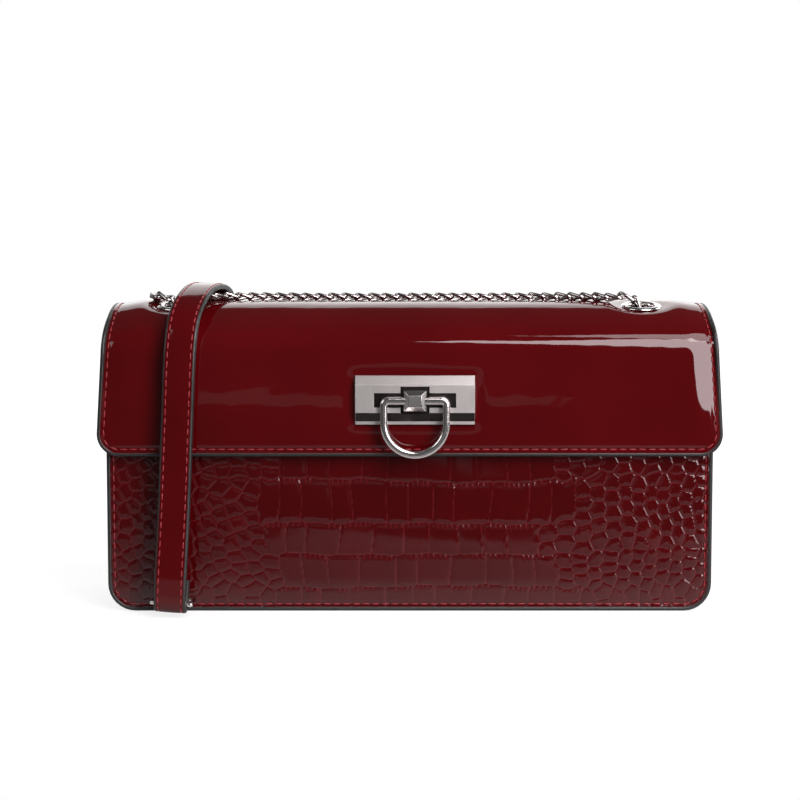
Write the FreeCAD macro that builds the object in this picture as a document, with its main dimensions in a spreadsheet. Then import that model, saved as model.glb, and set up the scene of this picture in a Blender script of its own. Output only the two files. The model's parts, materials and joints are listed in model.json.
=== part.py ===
"""Clutch purse: a hard-sided bag with a full-width flap, a drop-ring lock and a chain and leather strap.

Millimetres. +Z is up, -Y is the front and +X the right hand of someone who faces the front.
The origin is the centre of the underside.
"""
import FreeCAD, Part
import math
import os
import re

import Sketcher

V = FreeCAD.Vector
DOC = FreeCAD.newDocument("clutch_purse")

# ---------------------------------------------------------------- driving dimensions
SIZES = [
    ("body_width", 262.0, "body, left to right"),
    ("body_depth", 61.0, "body, front to back"),
    ("panel_height", 112.0, "front panel and side walls"),
    ("corner_radius", 12.0, "lower corners of the body"),
    ("body_leather", 1.8, "leather of the front and back panels"),
    ("board_thick", 1.2, "stiffeners of the body"),
    ("lining_thick", 0.8, "cloth lining"),
    ("board_inset", 4.0, "stiffener edge to panel edge"),
    ("gusset_leather", 1.5, "leather of the side and bottom walls"),
    ("gusset_seam", 16.0, "height of the seam between side and bottom walls"),
    ("base_board_thick", 2.0, "stiffener in the bottom"),
    ("base_board_inset", 13.0, "its ends to the outside of the body"),
    ("glue_gap", 0.05, "between curved layers"),
    ("pocket_width", 140.0, "slip pocket"),
    ("pocket_height", 70.0, "slip pocket"),
    ("pocket_bottom", 30.0, "height of its lower edge"),
    ("flap_width", 270.0, "flap at its lower edge"),
    ("flap_crest_width", 262.0, "flap at its highest line"),
    ("flap_bottom", 68.0, "height of the lower edge of the flap"),
    ("flap_corner", 9.6, "lower corners of the flap"),
    ("flap_gap", 1.0, "front panel to the inside of the flap"),
    ("flap_leather_thick", 1.8, "flap leather"),
    ("flap_board_thick", 1.1, "flap stiffener"),
    ("flap_board_inset", 5.0, "its edge to the edge of the flap"),
    ("dome_peak", 132.6, "height of the top"),
    ("dome_radius", 60.0, "curve of the top, seen from the side"),
    ("dome_back", 2.0, "highest line behind the middle"),
    ("shoulder_radius", 13.0, "front edge of the top"),
    ("fold_radius", 6.0, "rear edge of the top"),
    ("fold_gap", 0.3, "flap to back panel at the fold"),
    ("lock_offset", 2.2, "lock to the right of the middle"),
    ("lock_height", 92.6, "height of the middle of the lock"),
    ("plate_length", 51.0, "lock plate, left to right"),
    ("plate_tall", 21.0, "lock plate, bottom to top"),
    ("plate_thick", 3.6, "lock plate at its flat face"),
    ("plate_rim", 1.4, "lock plate at its upper and lower edges"),
    ("plate_bevel", 3.9, "height of each sloping band"),
    ("plate_lip", 1.3, "height of the lip under the lower band"),
    ("slot_length", 35.0, "long recess in the plate"),
    ("slot_tall", 6.2, "long recess in the plate"),
    ("square_wide", 12.4, "middle recess in the plate"),
    ("square_tall", 11.8, "middle recess in the plate"),
    ("recess_deep", 1.0, "both recesses"),
    ("stud_wide", 9.6, "stud, left to right"),
    ("stud_tall", 8.8, "stud, bottom to top"),
    ("stud_proud", 5.2, "stud in front of the plate"),
    ("stud_slope", 2.0, "its four sloping faces"),
    ("post_across", 4.0, "rivet post of the stud"),
    ("hole_gap", 0.1, "round holes over what passes through them"),
    ("wire_across", 3.4, "wire of the drop ring"),
    ("ring_wide", 30.0, "drop ring, outside"),
    ("ring_drop", 24.8, "its bar to its lowest point"),
    ("ring_clear", 0.4, "drop ring to plate"),
    ("bar_clear", 0.25, "drop ring bar to its bore, all round"),
    ("backing_length", 42.0, "plate behind the lock"),
    ("backing_tall", 12.0, "plate behind the lock"),
    ("backing_thick", 0.95, "plate behind the lock"),
    ("screw_across", 1.6, "lock screws"),
    ("screw_head", 3.0, "their heads"),
    ("head_thick", 0.5, "their heads"),
    ("screw_apart", 32.0, "one screw to the other"),
    ("screw_grip", 1.6, "screw inside the lock plate"),
    ("magnet_across", 11.0, "hidden magnets"),
    ("magnet_height", 80.0, "height of the magnets"),
    ("cutout_gap", 0.3, "stiffener holes round what sits in them"),
    ("eyelet_apart", 204.0, "one eyelet to the other"),
    ("eyelet_forward", 8.0, "eyelets in front of the middle"),
    ("eyelet_bore", 12.0, "eyelet, inside"),
    ("eyelet_wall", 0.8, "eyelet tube"),
    ("flange_across", 18.0, "eyelet flange and washer"),
    ("flange_thick", 0.9, "eyelet flange"),
    ("flange_sunk", 0.4, "pressed into the leather"),
    ("washer_thick", 0.7, "eyelet washer"),
    ("tube_end", 0.4, "eyelet tube past its washer"),
    ("chain_across", 5.0, "chain, outside"),
    ("strap_width", 14.0, "leather strap"),
    ("strap_thick", 2.6, "leather strap"),
    ("ring_wire", 1.9, "wire of the strap rings"),
    ("ring_slack", 0.5, "strap edge to the inside of its ring"),
    ("ring_reach", 6.9, "one bar of a strap ring to the other"),
]

# Values that follow from the driving dimensions, as expressions of the same words.
DERIVED = {
    "half_depth": "body_depth / 2",
    "half_width": "body_width / 2",
    "wall_stack": "body_leather + board_thick + lining_thick",
    "inside_depth": "body_depth - 2 * wall_stack",
    "lining_half": "half_width - gusset_leather",
    "lining_floor": "gusset_leather + base_board_thick",
    "flap_thick": "flap_leather_thick + flap_board_thick + lining_thick + 2 * glue_gap",
    "flap_front": "half_depth + flap_gap + flap_thick",
    "fold_back": "half_depth + fold_gap",
    "dome_centre": "dome_peak - dome_radius",
    "shoulder_y": "shoulder_radius - flap_front",
    "shoulder_arm": "dome_radius - shoulder_radius",
    "shoulder_lift": "sqrt(shoulder_arm ^ 2 - (dome_back - shoulder_y) ^ 2)",
    "shoulder_z": "dome_centre + shoulder_lift",
    "fold_y": "fold_back - fold_radius",
    "fold_arm": "dome_radius - fold_radius",
    "fold_lift": "sqrt(fold_arm ^ 2 - (fold_y - dome_back) ^ 2)",
    "hinge_z": "dome_centre + fold_lift",
    "back_height": "hinge_z - fold_gap",
    "plate_front": "flap_front + plate_thick",
    "ring_plane": "plate_front + ring_clear + wire_across / 2",
    "ring_radius": "(ring_wide - wire_across) / 2",
    "ring_leg": "ring_drop - wire_across / 2 - ring_radius",
    "board_depth": "flap_leather_thick + glue_gap",
    "pocket_depth": "board_depth + flap_board_thick",
    "lining_depth": "pocket_depth + glue_gap",
    "eyelet_run": "eyelet_forward + dome_back",
    "eyelet_z": "dome_centre + sqrt(dome_radius ^ 2 - eyelet_run ^ 2)",
    "eyelet_tilt": "asin(eyelet_run / dome_radius)",
    "tube_radius": "eyelet_bore / 2 + eyelet_wall",
    "under_radius": "dome_radius - flap_thick",
    "washer_sag": "under_radius - sqrt(under_radius ^ 2 - (flange_across / 2) ^ 2)",
    "washer_top": "flap_thick + washer_sag + glue_gap",
}


def make_sheet():
    sheet = DOC.addObject("Spreadsheet::Sheet", "Sizes")
    for row, (alias, value, note) in enumerate(SIZES, 1):
        sheet.set(f"A{row}", note)
        sheet.set(f"B{row}", str(value))
        sheet.setAlias(f"B{row}", alias)
    DOC.recompute()
    return sheet


SHEET = make_sheet()
CELLS = {alias for alias, _, _ in SIZES}


def cells(text):
    """The expression with every derived word spelled out and every sheet word made a cell reference."""
    def spelled(match):
        word = match.group(0)
        if word in DERIVED:
            return f"({cells(DERIVED[word])})"
        return f"Sizes.{word}" if word in CELLS else word
    return re.sub(r"[a-z]+(?:_[a-z]+)+", spelled, text)


def number(text):
    """The value of an expression now."""
    value = SHEET.evalExpression(cells(text))
    return float(getattr(value, "Value", value))


def bind(thing, **links):
    """Ties properties to expressions; double underscores stand for the dots in a property's path."""
    for path, text in links.items():
        thing.setExpression(path.replace("__", "."), cells(text))
    return thing


# ---------------------------------------------------------------- building helpers
def plane_of(body, role):
    return next(feature for feature in body.Origin.OriginFeatures if feature.Role == role)


def new_body(name):
    body = DOC.addObject("PartDesign::Body", name)
    body.Label = name
    return body


def new_sketch(body, role):
    sketch = body.newObject("Sketcher::SketchObject", body.Name + "_sketch")
    sketch.AttachmentSupport = [(plane_of(body, role), "")]
    sketch.MapMode = "FlatFace"
    return sketch


def hold(sketch, kind, edge, end, text):
    """One dimension from the sketch's origin, or a radius, tied to an expression."""
    if kind == "Radius":
        index = sketch.addConstraint(Sketcher.Constraint(kind, edge, number(text)))
    else:
        index = sketch.addConstraint(Sketcher.Constraint(kind, -1, 1, edge, end, number(text)))
    sketch.setExpression(f"Constraints[{index}]", cells(text))


def arc_through(start, stop, radius, turn):
    """Minor arc from start to stop, and which of its ends is the start; turn is +1 to the left."""
    chord = stop - start
    middle = (start + stop) * 0.5
    lift = math.sqrt(max(radius ** 2 - (chord.Length / 2) ** 2, 0.0))
    side = V(-chord.y, chord.x, 0).normalize()
    centre = middle + side * (lift * turn)
    first, last = (start, stop) if turn > 0 else (stop, start)
    angles = [math.atan2(point.y - centre.y, point.x - centre.x) for point in (first, last)]
    circle = Part.Circle(centre, V(0, 0, 1), radius)
    return Part.ArcOfCircle(circle, *angles), (1, 2) if turn > 0 else (2, 1)


def outline(sketch, path):
    """A closed outline. Each corner is (across, up), or (across, up, radius, turn) where an arc leads to it."""
    corners = [V(number(step[0]), number(step[1]), 0) for step in path]
    ends = []
    for index, step in enumerate(path):
        start, stop = corners[index - 1], corners[index]
        if len(step) == 2:
            edge = sketch.addGeometry(Part.LineSegment(start, stop))
            ends.append((edge, 1, 2))
        else:
            arc, (first, last) = arc_through(start, stop, number(step[2]), step[3])
            ends.append((sketch.addGeometry(arc), first, last))
    for index, (edge, first, _) in enumerate(ends):
        before, _, last = ends[index - 1]
        sketch.addConstraint(Sketcher.Constraint("Coincident", before, last, edge, first))
    for (edge, _, last), step in zip(ends, path):
        hold(sketch, "DistanceX", edge, last, step[0])
        hold(sketch, "DistanceY", edge, last, step[1])
        if len(step) == 4:
            hold(sketch, "Radius", edge, 0, step[2])


def circle(sketch, across, up, radius):
    edge = sketch.addGeometry(Part.Circle(V(number(across), number(up), 0), V(0, 0, 1), number(radius)))
    hold(sketch, "DistanceX", edge, 3, across)
    hold(sketch, "DistanceY", edge, 3, up)
    hold(sketch, "Radius", edge, 0, radius)


def pad(body, sketch, length, both_ways=False):
    feature = body.newObject("PartDesign::Pad", body.Name + "_pad")
    feature.Profile = sketch
    feature.Midplane = both_ways
    return bind(feature, Length=length)


def pocket_through(body, sketch):
    feature = body.newObject("PartDesign::Pocket", body.Name + "_pocket")
    feature.Profile = sketch
    feature.Type = "ThroughAll"
    feature.Midplane = True
    return feature


def pocket(body, sketch, depth, backwards=False):
    feature = body.newObject("PartDesign::Pocket", body.Name + "_recess")
    feature.Profile = sketch
    feature.Reversed = backwards
    return bind(feature, Length=depth)


def box(name, sizes, corner):
    """A block whose lowest corner is the given expressions."""
    block = DOC.addObject("Part::Box", name)
    bind(block, Length=sizes[0], Width=sizes[1], Height=sizes[2])
    return bind(block, Placement__Base__x=corner[0], Placement__Base__y=corner[1],
                Placement__Base__z=corner[2])


TURNS = {
    "up": FreeCAD.Rotation(),
    "back": FreeCAD.Rotation(V(1, 0, 0), -90),
    "right": FreeCAD.Rotation(V(0, 1, 0), 90),
}


def rod(name, radius, length, start, way="up"):
    """A cylinder that runs up, back (+Y) or right (+X) from its start."""
    cylinder = DOC.addObject("Part::Cylinder", name)
    cylinder.Placement = FreeCAD.Placement(V(), TURNS[way])
    bind(cylinder, Radius=radius, Height=length)
    return bind(cylinder, Placement__Base__x=start[0], Placement__Base__y=start[1],
                Placement__Base__z=start[2])


def ball(name, radius, centre):
    sphere = bind(DOC.addObject("Part::Sphere", name), Radius=radius)
    return bind(sphere, Placement__Base__x=centre[0], Placement__Base__y=centre[1],
                Placement__Base__z=centre[2])


def joined(name, shapes):
    fusion = DOC.addObject("Part::MultiFuse", name)
    fusion.Shapes = shapes
    return fusion


def shared(name, shapes):
    common = DOC.addObject("Part::MultiCommon", name)
    common.Shapes = shapes
    return common


def cut(name, base, tool):
    difference = DOC.addObject("Part::Cut", name)
    difference.Base = base
    difference.Tool = tool
    return difference


NODES = []


def node(name, thing):
    """Marks a finished sub-part; its label names its file."""
    thing.Label = name
    NODES.append(thing)
    return thing


# ---------------------------------------------------------------- body
def sheet_path(half, bottom, top, radius):
    """Upright sheet with round lower corners."""
    return [
        (f"-({half})", f"{bottom} + {radius}"),
        (f"-({half}) + {radius}", bottom, radius, 1),
        (f"{half} - ({radius})", bottom),
        (half, f"{bottom} + {radius}", radius, 1),
        (half, top),
        (f"-({half})", top),
    ]


def upright_sheet(name, half, bottom, top, radius, thick, front, hole=None):
    """A sheet whose front face lies at the given depth; hole is (across, up, radius)."""
    body = new_body(name)
    sketch = new_sketch(body, "XZ_Plane")
    outline(sketch, sheet_path(half, bottom, top, radius))
    if hole:
        circle(sketch, *hole)
    pad(body, sketch, thick)
    return node(name, bind(body, Placement__Base__y=f"{front} + {thick}"))


def magnet_hole():
    return ("lock_offset", "magnet_height", "magnet_across / 2 + cutout_gap")


def body_panels():
    board = ("half_width - board_inset", "board_inset", "corner_radius - board_inset")
    lining = ("lining_half", "lining_floor", "corner_radius - lining_floor + gusset_leather")
    tops = {"front": "panel_height", "back": "back_height"}
    for side, top in tops.items():
        def place(depth_front, thick, side=side):
            """Depth of a layer's front face, counted from the outside of its panel."""
            if side == "front":
                return f"{depth_front} - half_depth"
            return f"half_depth - ({depth_front}) - {thick}"
        upright_sheet(f"{side}_panel", "half_width", "0 * body_width", top, "corner_radius",
                      "body_leather", place("0 * body_width", "body_leather"))
        upright_sheet(f"{side}_board", board[0], board[1], top, board[2], "board_thick",
                      place("body_leather", "board_thick"), magnet_hole() if side == "front" else None)
        upright_sheet(f"{side}_lining", lining[0], lining[1], top, lining[2], "lining_thick",
                      place("body_leather + board_thick", "lining_thick"))


def trough_path(half, bottom, top, radius, thick):
    """Section of a wall that runs down one side, along the bottom and up the other."""
    inner = f"({half} - {thick})"
    bend = f"({radius} - {thick})"
    return [
        (f"-({half})", f"{bottom} + {radius}"),
        (f"-({half}) + {radius}", bottom, radius, 1),
        (f"{half} - ({radius})", bottom),
        (half, f"{bottom} + {radius}", radius, 1),
        (half, top),
        (inner, top),
        (inner, f"{bottom} + {radius}"),
        (f"{half} - ({radius})", f"{bottom} + {thick}", bend, -1),
        (f"-({half}) + {radius}", f"{bottom} + {thick}"),
        (f"-{inner}", f"{bottom} + {radius}", bend, -1),
        (f"-{inner}", top),
        (f"-({half})", top),
    ]


def trough(name, half, bottom, top, radius, thick, width):
    body = new_body(name)
    sketch = new_sketch(body, "XZ_Plane")
    outline(sketch, trough_path(half, bottom, top, radius, thick))
    pad(body, sketch, width, both_ways=True)
    return node(name, body)


def gusset():
    between = "body_depth - 2 * body_leather"
    trough("gusset_base", "half_width", "0 * body_width", "gusset_seam", "corner_radius",
           "gusset_leather", between)
    for side, left_face in (("left", "-half_width"), ("right", "lining_half")):
        wall = box(f"gusset_{side}", ("gusset_leather", between, "panel_height - gusset_seam"),
                   (left_face, "body_leather - half_depth", "gusset_seam"))
        node(f"gusset_{side}", wall)
    trough("gusset_lining", "lining_half", "lining_floor", "panel_height",
           "(corner_radius - lining_floor + gusset_leather)", "lining_thick", "inside_depth")


def inside_pieces():
    board_length = "body_width - 2 * base_board_inset"
    board = box("base_board", (board_length, "inside_depth", "base_board_thick"),
                (f"-({board_length}) / 2", "-(inside_depth) / 2", "gusset_leather"))
    node("base_board", board)
    slip = box("slip_pocket", ("pocket_width", "lining_thick", "pocket_height"),
               ("-pocket_width / 2", "inside_depth / 2 - lining_thick", "pocket_bottom"))
    node("slip_pocket", slip)
    disc = rod("body_magnet", "magnet_across / 2", "board_thick",
               ("lock_offset", "body_leather - half_depth", "magnet_height"), "back")
    node("body_magnet", disc)


# ---------------------------------------------------------------- flap
def band_path(outer, inner, bottom, back_end):
    """Section of one layer of the flap, between two depths below its outside."""
    def at(arm_y, arm_z, depth, centre_y, centre_z, radius, arm):
        reach = f"({radius} - ({depth})) / ({arm})"
        return (f"{centre_y} + ({arm_y}) * {reach}", f"{centre_z} + ({arm_z}) * {reach}")

    def front_turn(depth):
        return at("shoulder_y - dome_back", "shoulder_lift", depth,
                  "dome_back", "dome_centre", "dome_radius", "shoulder_arm")

    def rear_turn(depth):
        return at("fold_y - dome_back", "fold_lift", depth,
                  "dome_back", "dome_centre", "dome_radius", "fold_arm")

    return [
        (f"{outer} - flap_front", "shoulder_z"),
        (*front_turn(outer), f"shoulder_radius - ({outer})", -1),
        (*rear_turn(outer), f"dome_radius - ({outer})", -1),
        (f"fold_back - ({outer})", "hinge_z", f"fold_radius - ({outer})", -1),
        (f"fold_back - ({inner})", "hinge_z"),
        (*rear_turn(inner), f"fold_radius - ({inner})", 1),
        (*front_turn(inner), f"dome_radius - ({inner})", 1),
        (f"{inner} - flap_front", "shoulder_z", f"shoulder_radius - ({inner})", 1),
        (f"{inner} - flap_front", bottom),
        (f"{outer} - flap_front", bottom),
    ]


def flap_layer(name, outer, inner, inset):
    """One layer: its section drawn across the flap, trimmed to the flap's outline less an inset."""
    band = new_body(f"{name}_band")
    section = new_sketch(band, "YZ_Plane")
    outline(section, band_path(outer, inner, f"flap_bottom + {inset}", inset))
    pad(band, section, "flap_width", both_ways=True)

    trim = new_body(f"{name}_trim")
    face = new_sketch(trim, "XZ_Plane")
    half, crest = f"(flap_width / 2 - ({inset}))", f"(flap_crest_width / 2 - ({inset}))"
    corner = f"(flap_corner - ({inset}) / 2)"
    foot = f"flap_bottom + {inset}"
    outline(face, [
        (f"-{half}", f"{foot} + {corner}"),
        (f"-{half} + {corner}", foot, corner, 1),
        (f"{half} - {corner}", foot),
        (half, f"{foot} + {corner}", corner, 1),
        (crest, "dome_peak + 1"),
        (f"-{crest}", "dome_peak + 1"),
    ])
    pad(trim, face, "2 * (flap_front + fold_back)", both_ways=True)
    return shared(f"{name}_blank", [band, trim])


def eyelet_rod(name, side, radius, bottom, top):
    """A cutter on an eyelet's axis, from bottom to top along it."""
    cutter = DOC.addObject("Part::Cylinder", name)
    cutter.Placement = FreeCAD.Placement(V(), FreeCAD.Rotation(V(1, 0, 0), 10))
    bind(cutter, Radius=radius, Height=f"({top}) - ({bottom})", Placement__Rotation__Angle="eyelet_tilt")
    return bind(cutter, Placement__Base__x=f"{side} * eyelet_apart / 2",
                Placement__Base__y=f"-eyelet_forward - ({bottom}) * sin(eyelet_tilt)",
                Placement__Base__z=f"eyelet_z + ({bottom}) * cos(eyelet_tilt)")


def eyelet_bores(name):
    return [eyelet_rod(f"{name}_bore_{side + 2}", side, "tube_radius + hole_gap", "-2 * flap_thick", "flap_thick")
            for side in (-1, 1)]


def rear_holes(name):
    """Cutters for the stud's post and the two screws, through the flap behind the lock."""
    holes = [("post", "0 * screw_apart", "post_across"), ("left", "-screw_apart / 2", "screw_across"),
             ("right", "screw_apart / 2", "screw_across")]
    return [rod(f"{name}_{word}_hole", f"{across} / 2 + hole_gap", "2 * flap_thick",
                (f"lock_offset + {shift}", "-flap_front - flap_thick", "lock_height"), "back")
            for word, shift, across in holes]


def flap():
    skin = flap_layer("leather", "0 * flap_width", "pocket_depth", "0 * flap_width")
    hollow = flap_layer("hollow", "flap_leather_thick", "pocket_depth", "flap_board_inset")
    seats = [eyelet_rod(f"seat_{side + 2}", side, "flange_across / 2 + hole_gap", "-flange_sunk", "flap_thick")
             for side in (-1, 1)]
    tools = joined("leather_tools", [hollow, *seats, *eyelet_bores("leather"), *rear_holes("leather")])
    node("flap_leather", cut("flap_leather", skin, tools))

    stiffener = flap_layer("board", "board_depth", "pocket_depth", "flap_board_inset + glue_gap")
    window = box("backing_window",
                 ("backing_length + 2 * cutout_gap", "2 * flap_thick", "backing_tall + 2 * cutout_gap"),
                 ("lock_offset - backing_length / 2 - cutout_gap", "-flap_front - flap_thick / 2",
                  "lock_height - backing_tall / 2 - cutout_gap"))
    across, up, radius = magnet_hole()
    magnet_gap = rod("flap_magnet_hole", radius, "2 * flap_thick",
                     (across, "-flap_front - flap_thick / 2", up), "back")
    tools = joined("board_tools", [window, magnet_gap, *eyelet_bores("board")])
    node("flap_board", cut("flap_board", stiffener, tools))

    cloth = flap_layer("cloth", "lining_depth", "flap_thick", "0 * flap_width")
    node("flap_lining", cut("flap_lining", cloth, joined("lining_tools", eyelet_bores("lining"))))

    disc = rod("flap_magnet", "magnet_across / 2", "flap_board_thick",
               ("lock_offset", "board_depth - flap_front", "magnet_height"), "back")
    node("flap_magnet", disc)


# ---------------------------------------------------------------- lock
def lock_plate():
    """Bar of metal with sloping bands, a cross-shaped recess and three holes from behind."""
    body = new_body("lock_plate")
    section = new_sketch(body, "YZ_Plane")
    half = "plate_tall / 2"
    outline(section, [
        ("0 * plate_tall", f"-{half}"),
        ("0 * plate_tall", half),
        ("-plate_rim", half),
        ("-plate_thick", f"{half} - plate_bevel"),
        ("-plate_thick", f"plate_lip + plate_bevel - {half}"),
        ("-plate_rim", f"plate_lip - {half}"),
        ("-plate_rim", f"-{half}"),
    ])
    pad(body, section, "plate_length", both_ways=True)
    for name, wide, tall in (("slot", "slot_length", "slot_tall"), ("square", "square_wide", "square_tall")):
        face = body.newObject("Sketcher::SketchObject", f"lock_{name}")
        face.AttachmentSupport = [(plane_of(body, "XZ_Plane"), "")]
        face.MapMode = "FlatFace"
        bind(face, AttachmentOffset__Base__z="plate_thick")
        outline(face, [(f"-{wide} / 2", f"-{tall} / 2"), (f"{wide} / 2", f"-{tall} / 2"),
                       (f"{wide} / 2", f"{tall} / 2"), (f"-{wide} / 2", f"{tall} / 2")])
        pocket(body, face, "recess_deep")
    bores = new_sketch(body, "XZ_Plane")
    circle(bores, "0 * plate_tall", "0 * plate_tall", "post_across / 2 + hole_gap")
    pocket_through(body, bores)
    screw_bores = new_sketch(body, "XZ_Plane")
    for side in ("-1", "1"):
        circle(screw_bores, f"{side} * screw_apart / 2", "0 * plate_tall", "screw_across / 2 + hole_gap / 2")
    pocket(body, screw_bores, "screw_grip + hole_gap", backwards=True)
    bind(body, Placement__Base__x="lock_offset", Placement__Base__y="-flap_front",
         Placement__Base__z="lock_height")
    node("lock_plate", body)


def lock_stud():
    """Block with four sloping faces, a bore for the ring's bar and a post through the flap."""
    body = new_body("lock_stud")
    face = new_sketch(body, "XZ_Plane")
    outline(face, [("-stud_wide / 2", "-stud_tall / 2"), ("stud_wide / 2", "-stud_tall / 2"),
                   ("stud_wide / 2", "stud_tall / 2"), ("-stud_wide / 2", "stud_tall / 2")])
    block = pad(body, face, "stud_proud + recess_deep")
    DOC.recompute()
    front = min(range(len(block.Shape.Faces)), key=lambda index: block.Shape.Faces[index].CenterOfMass.y)
    slopes = body.newObject("PartDesign::Chamfer", "stud_slopes")
    slopes.Base = (block, [f"Face{front + 1}"])
    bind(slopes, Size="stud_slope")
    bore = new_sketch(body, "YZ_Plane")
    circle(bore, "-(ring_plane - plate_front + recess_deep)", "0 * stud_tall", "wire_across / 2 + bar_clear")
    pocket_through(body, bore)
    post = new_sketch(body, "XZ_Plane")
    circle(post, "0 * stud_tall", "0 * stud_tall", "post_across / 2")
    shank = pad(body, post, "plate_thick - recess_deep + pocket_depth")
    shank.Reversed = True
    bind(body, Placement__Base__x="lock_offset", Placement__Base__y="recess_deep - plate_front",
         Placement__Base__z="lock_height")
    node("lock_stud", body)


def lock_backing():
    """Plate behind the leather, with sunk seats for the screw heads."""
    body = new_body("lock_backing_plate")
    face = new_sketch(body, "XZ_Plane")
    half, tall = "backing_length / 2", "backing_tall / 2"
    outline(face, [(f"-{half}", f"-{tall}"), (half, f"-{tall}"), (half, tall), (f"-{half}", tall)])
    circle(face, "0 * backing_tall", "0 * backing_tall", "post_across / 2 + hole_gap")
    for side in ("-1", "1"):
        circle(face, f"{side} * screw_apart / 2", "0 * backing_tall", "screw_across / 2 + hole_gap")
    pad(body, face, "backing_thick")
    seats = new_sketch(body, "XZ_Plane")
    for side in ("-1", "1"):
        circle(seats, f"{side} * screw_apart / 2", "0 * backing_tall", "screw_head / 2 + hole_gap")
    pocket(body, seats, "head_thick", backwards=True)
    bind(body, Placement__Base__x="lock_offset",
         Placement__Base__y="board_depth + backing_thick - flap_front", Placement__Base__z="lock_height")
    node("lock_backing_plate", body)

    screws = []
    for side in (-1, 1):
        across = f"lock_offset + {side} * screw_apart / 2"
        head = rod(f"screw_head_{side + 2}", "screw_head / 2", "head_thick",
                   (across, "board_depth + backing_thick - head_thick - flap_front", "lock_height"), "back")
        shank = rod(f"screw_shank_{side + 2}", "screw_across / 2",
                    "screw_grip + board_depth + backing_thick - head_thick / 2",
                    (across, "-flap_front - screw_grip", "lock_height"), "back")
        screws.append(joined(f"screw_{side + 2}", [head, shank]))
    pair = DOC.addObject("Part::Compound", "lock_screws")
    pair.Links = screws
    node("lock_screws", pair)


def d_ring():
    """Straight bar through the stud, two short legs and a half circle."""
    wire = "wire_across / 2"
    left, right = "lock_offset - ring_radius", "lock_offset + ring_radius"
    leg_foot = "lock_height - ring_leg"
    pieces = [rod("ring_bar", wire, "2 * ring_radius", (left, "-ring_plane", "lock_height"), "right")]
    for name, across in (("left", left), ("right", right)):
        pieces.append(rod(f"ring_leg_{name}", wire, "ring_leg", (across, "-ring_plane", leg_foot)))
        pieces.append(ball(f"ring_corner_{name}", wire, (across, "-ring_plane", "lock_height")))
    bow = DOC.addObject("Part::Torus", "ring_bow")
    bow.Angle3 = 180
    bow.Placement = FreeCAD.Placement(V(), FreeCAD.Rotation(V(1, 0, 0), -90))
    bind(bow, Radius1="ring_radius", Radius2=wire, Placement__Base__x="lock_offset",
         Placement__Base__y="-ring_plane", Placement__Base__z=leg_foot)
    node("d_ring", joined("d_ring", [*pieces, bow]))


# ---------------------------------------------------------------- eyelets
def on_eyelet(body, side):
    """Stands a turned piece on the flap with its axis square to the dome."""
    body.Placement = FreeCAD.Placement(V(), FreeCAD.Rotation(V(1, 0, 0), 10))
    return bind(body, Placement__Rotation__Angle="eyelet_tilt",
                Placement__Base__x=f"{side} * eyelet_apart / 2",
                Placement__Base__y="-eyelet_forward + 0 * flap_width", Placement__Base__z="eyelet_z")


def turned(name, path):
    """A ring turned about the vertical; path gives (radius, height) corners."""
    body = new_body(name)
    section = new_sketch(body, "XZ_Plane")
    outline(section, path)
    spin = body.newObject("PartDesign::Revolution", f"{name}_turning")
    spin.Profile = section
    spin.ReferenceAxis = (section, ["V_Axis"])
    spin.Angle = 360
    return body


def eyelets():
    tube_foot = "-(washer_top + washer_thick + tube_end)"
    for word, side in (("left", -1), ("right", 1)):
        ring = turned(f"eyelet_{word}", [
            ("eyelet_bore / 2", tube_foot),
            ("tube_radius", tube_foot),
            ("tube_radius", "-flange_sunk"),
            ("flange_across / 2", "-flange_sunk"),
            ("flange_across / 2", "flange_thick / 2 - flange_sunk"),
            ("flange_across / 2 - flange_thick / 2", "flange_thick - flange_sunk"),
            ("tube_radius", "flange_thick - flange_sunk"),
            ("eyelet_bore / 2", "flange_thick - flange_sunk - eyelet_wall / 2"),
        ])
        node(f"eyelet_{word}", on_eyelet(ring, side))
        washer = turned(f"eyelet_washer_{word}", [
            ("tube_radius + hole_gap", "-(washer_top + washer_thick)"),
            ("flange_across / 2", "-(washer_top + washer_thick)"),
            ("flange_across / 2", "-(washer_top)"),
            ("tube_radius + hole_gap", "-(washer_top)"),
        ])
        node(f"eyelet_washer_{word}", on_eyelet(washer, side))


# ---------------------------------------------------------------- chain and strap
# Hand-chosen routes. The chain's are in the bag's own frame. The strap's are (back, up) in an upright
# plane that stands a little left of the left eyelet, turned and leaned as the strap lies.
CHAIN_RIGHT = [
    (102, -7.6, 123.5), (102, -8.4, 135.3), (90, -6.6, 135.4), (79.5, 0.5, 135.6), (64, 7.5, 135.3),
    (40, 10.4, 134.9), (12, 9.3, 135.0), (-16, 10.6, 134.9), (-44, 9.4, 135.0), (-68, 9.0, 135.1),
    (-82.5, 5.5, 135.4), (-91.5, -5.5, 135.6), (-95.3, -18.5, 132.6), (-96.2, -33.6, 126.0),
    (-96.6, -38.9, 115.0), (-97.2, -38.6, 100.0), (-97.5, -38.9, 82.0), (-98.4, -38.4, 62.0),
    (-98.8, -38.3, 43.0), (-99.9, -37.4, 25.0), (-100.6, -37.5, 8.4),
]
CHAIN_LEFT = [
    (-102, -7.6, 123.5), (-102, -8.4, 135.3), (-112.6, -4.4, 135.7), (-113.6, 6.5, 135.4),
    (-108.0, 17.0, 134.2), (-97.4, 24.2, 132.1),
]
CHAIN_INNER = [
    (102, -7.6, 123.5), (102, -7.16, 117.0), (96.5, -7.0, 112.9), (85, -6.8, 112.0), (62, -6.4, 113.1),
    (33, -6.9, 112.2), (2, -6.5, 113.0), (-30, -6.9, 112.3), (-60, -6.5, 113.1), (-85, -6.8, 112.0),
    (-96.5, -7.0, 112.9), (-102, -7.16, 117.0), (-102, -7.6, 123.5),
]
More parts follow.
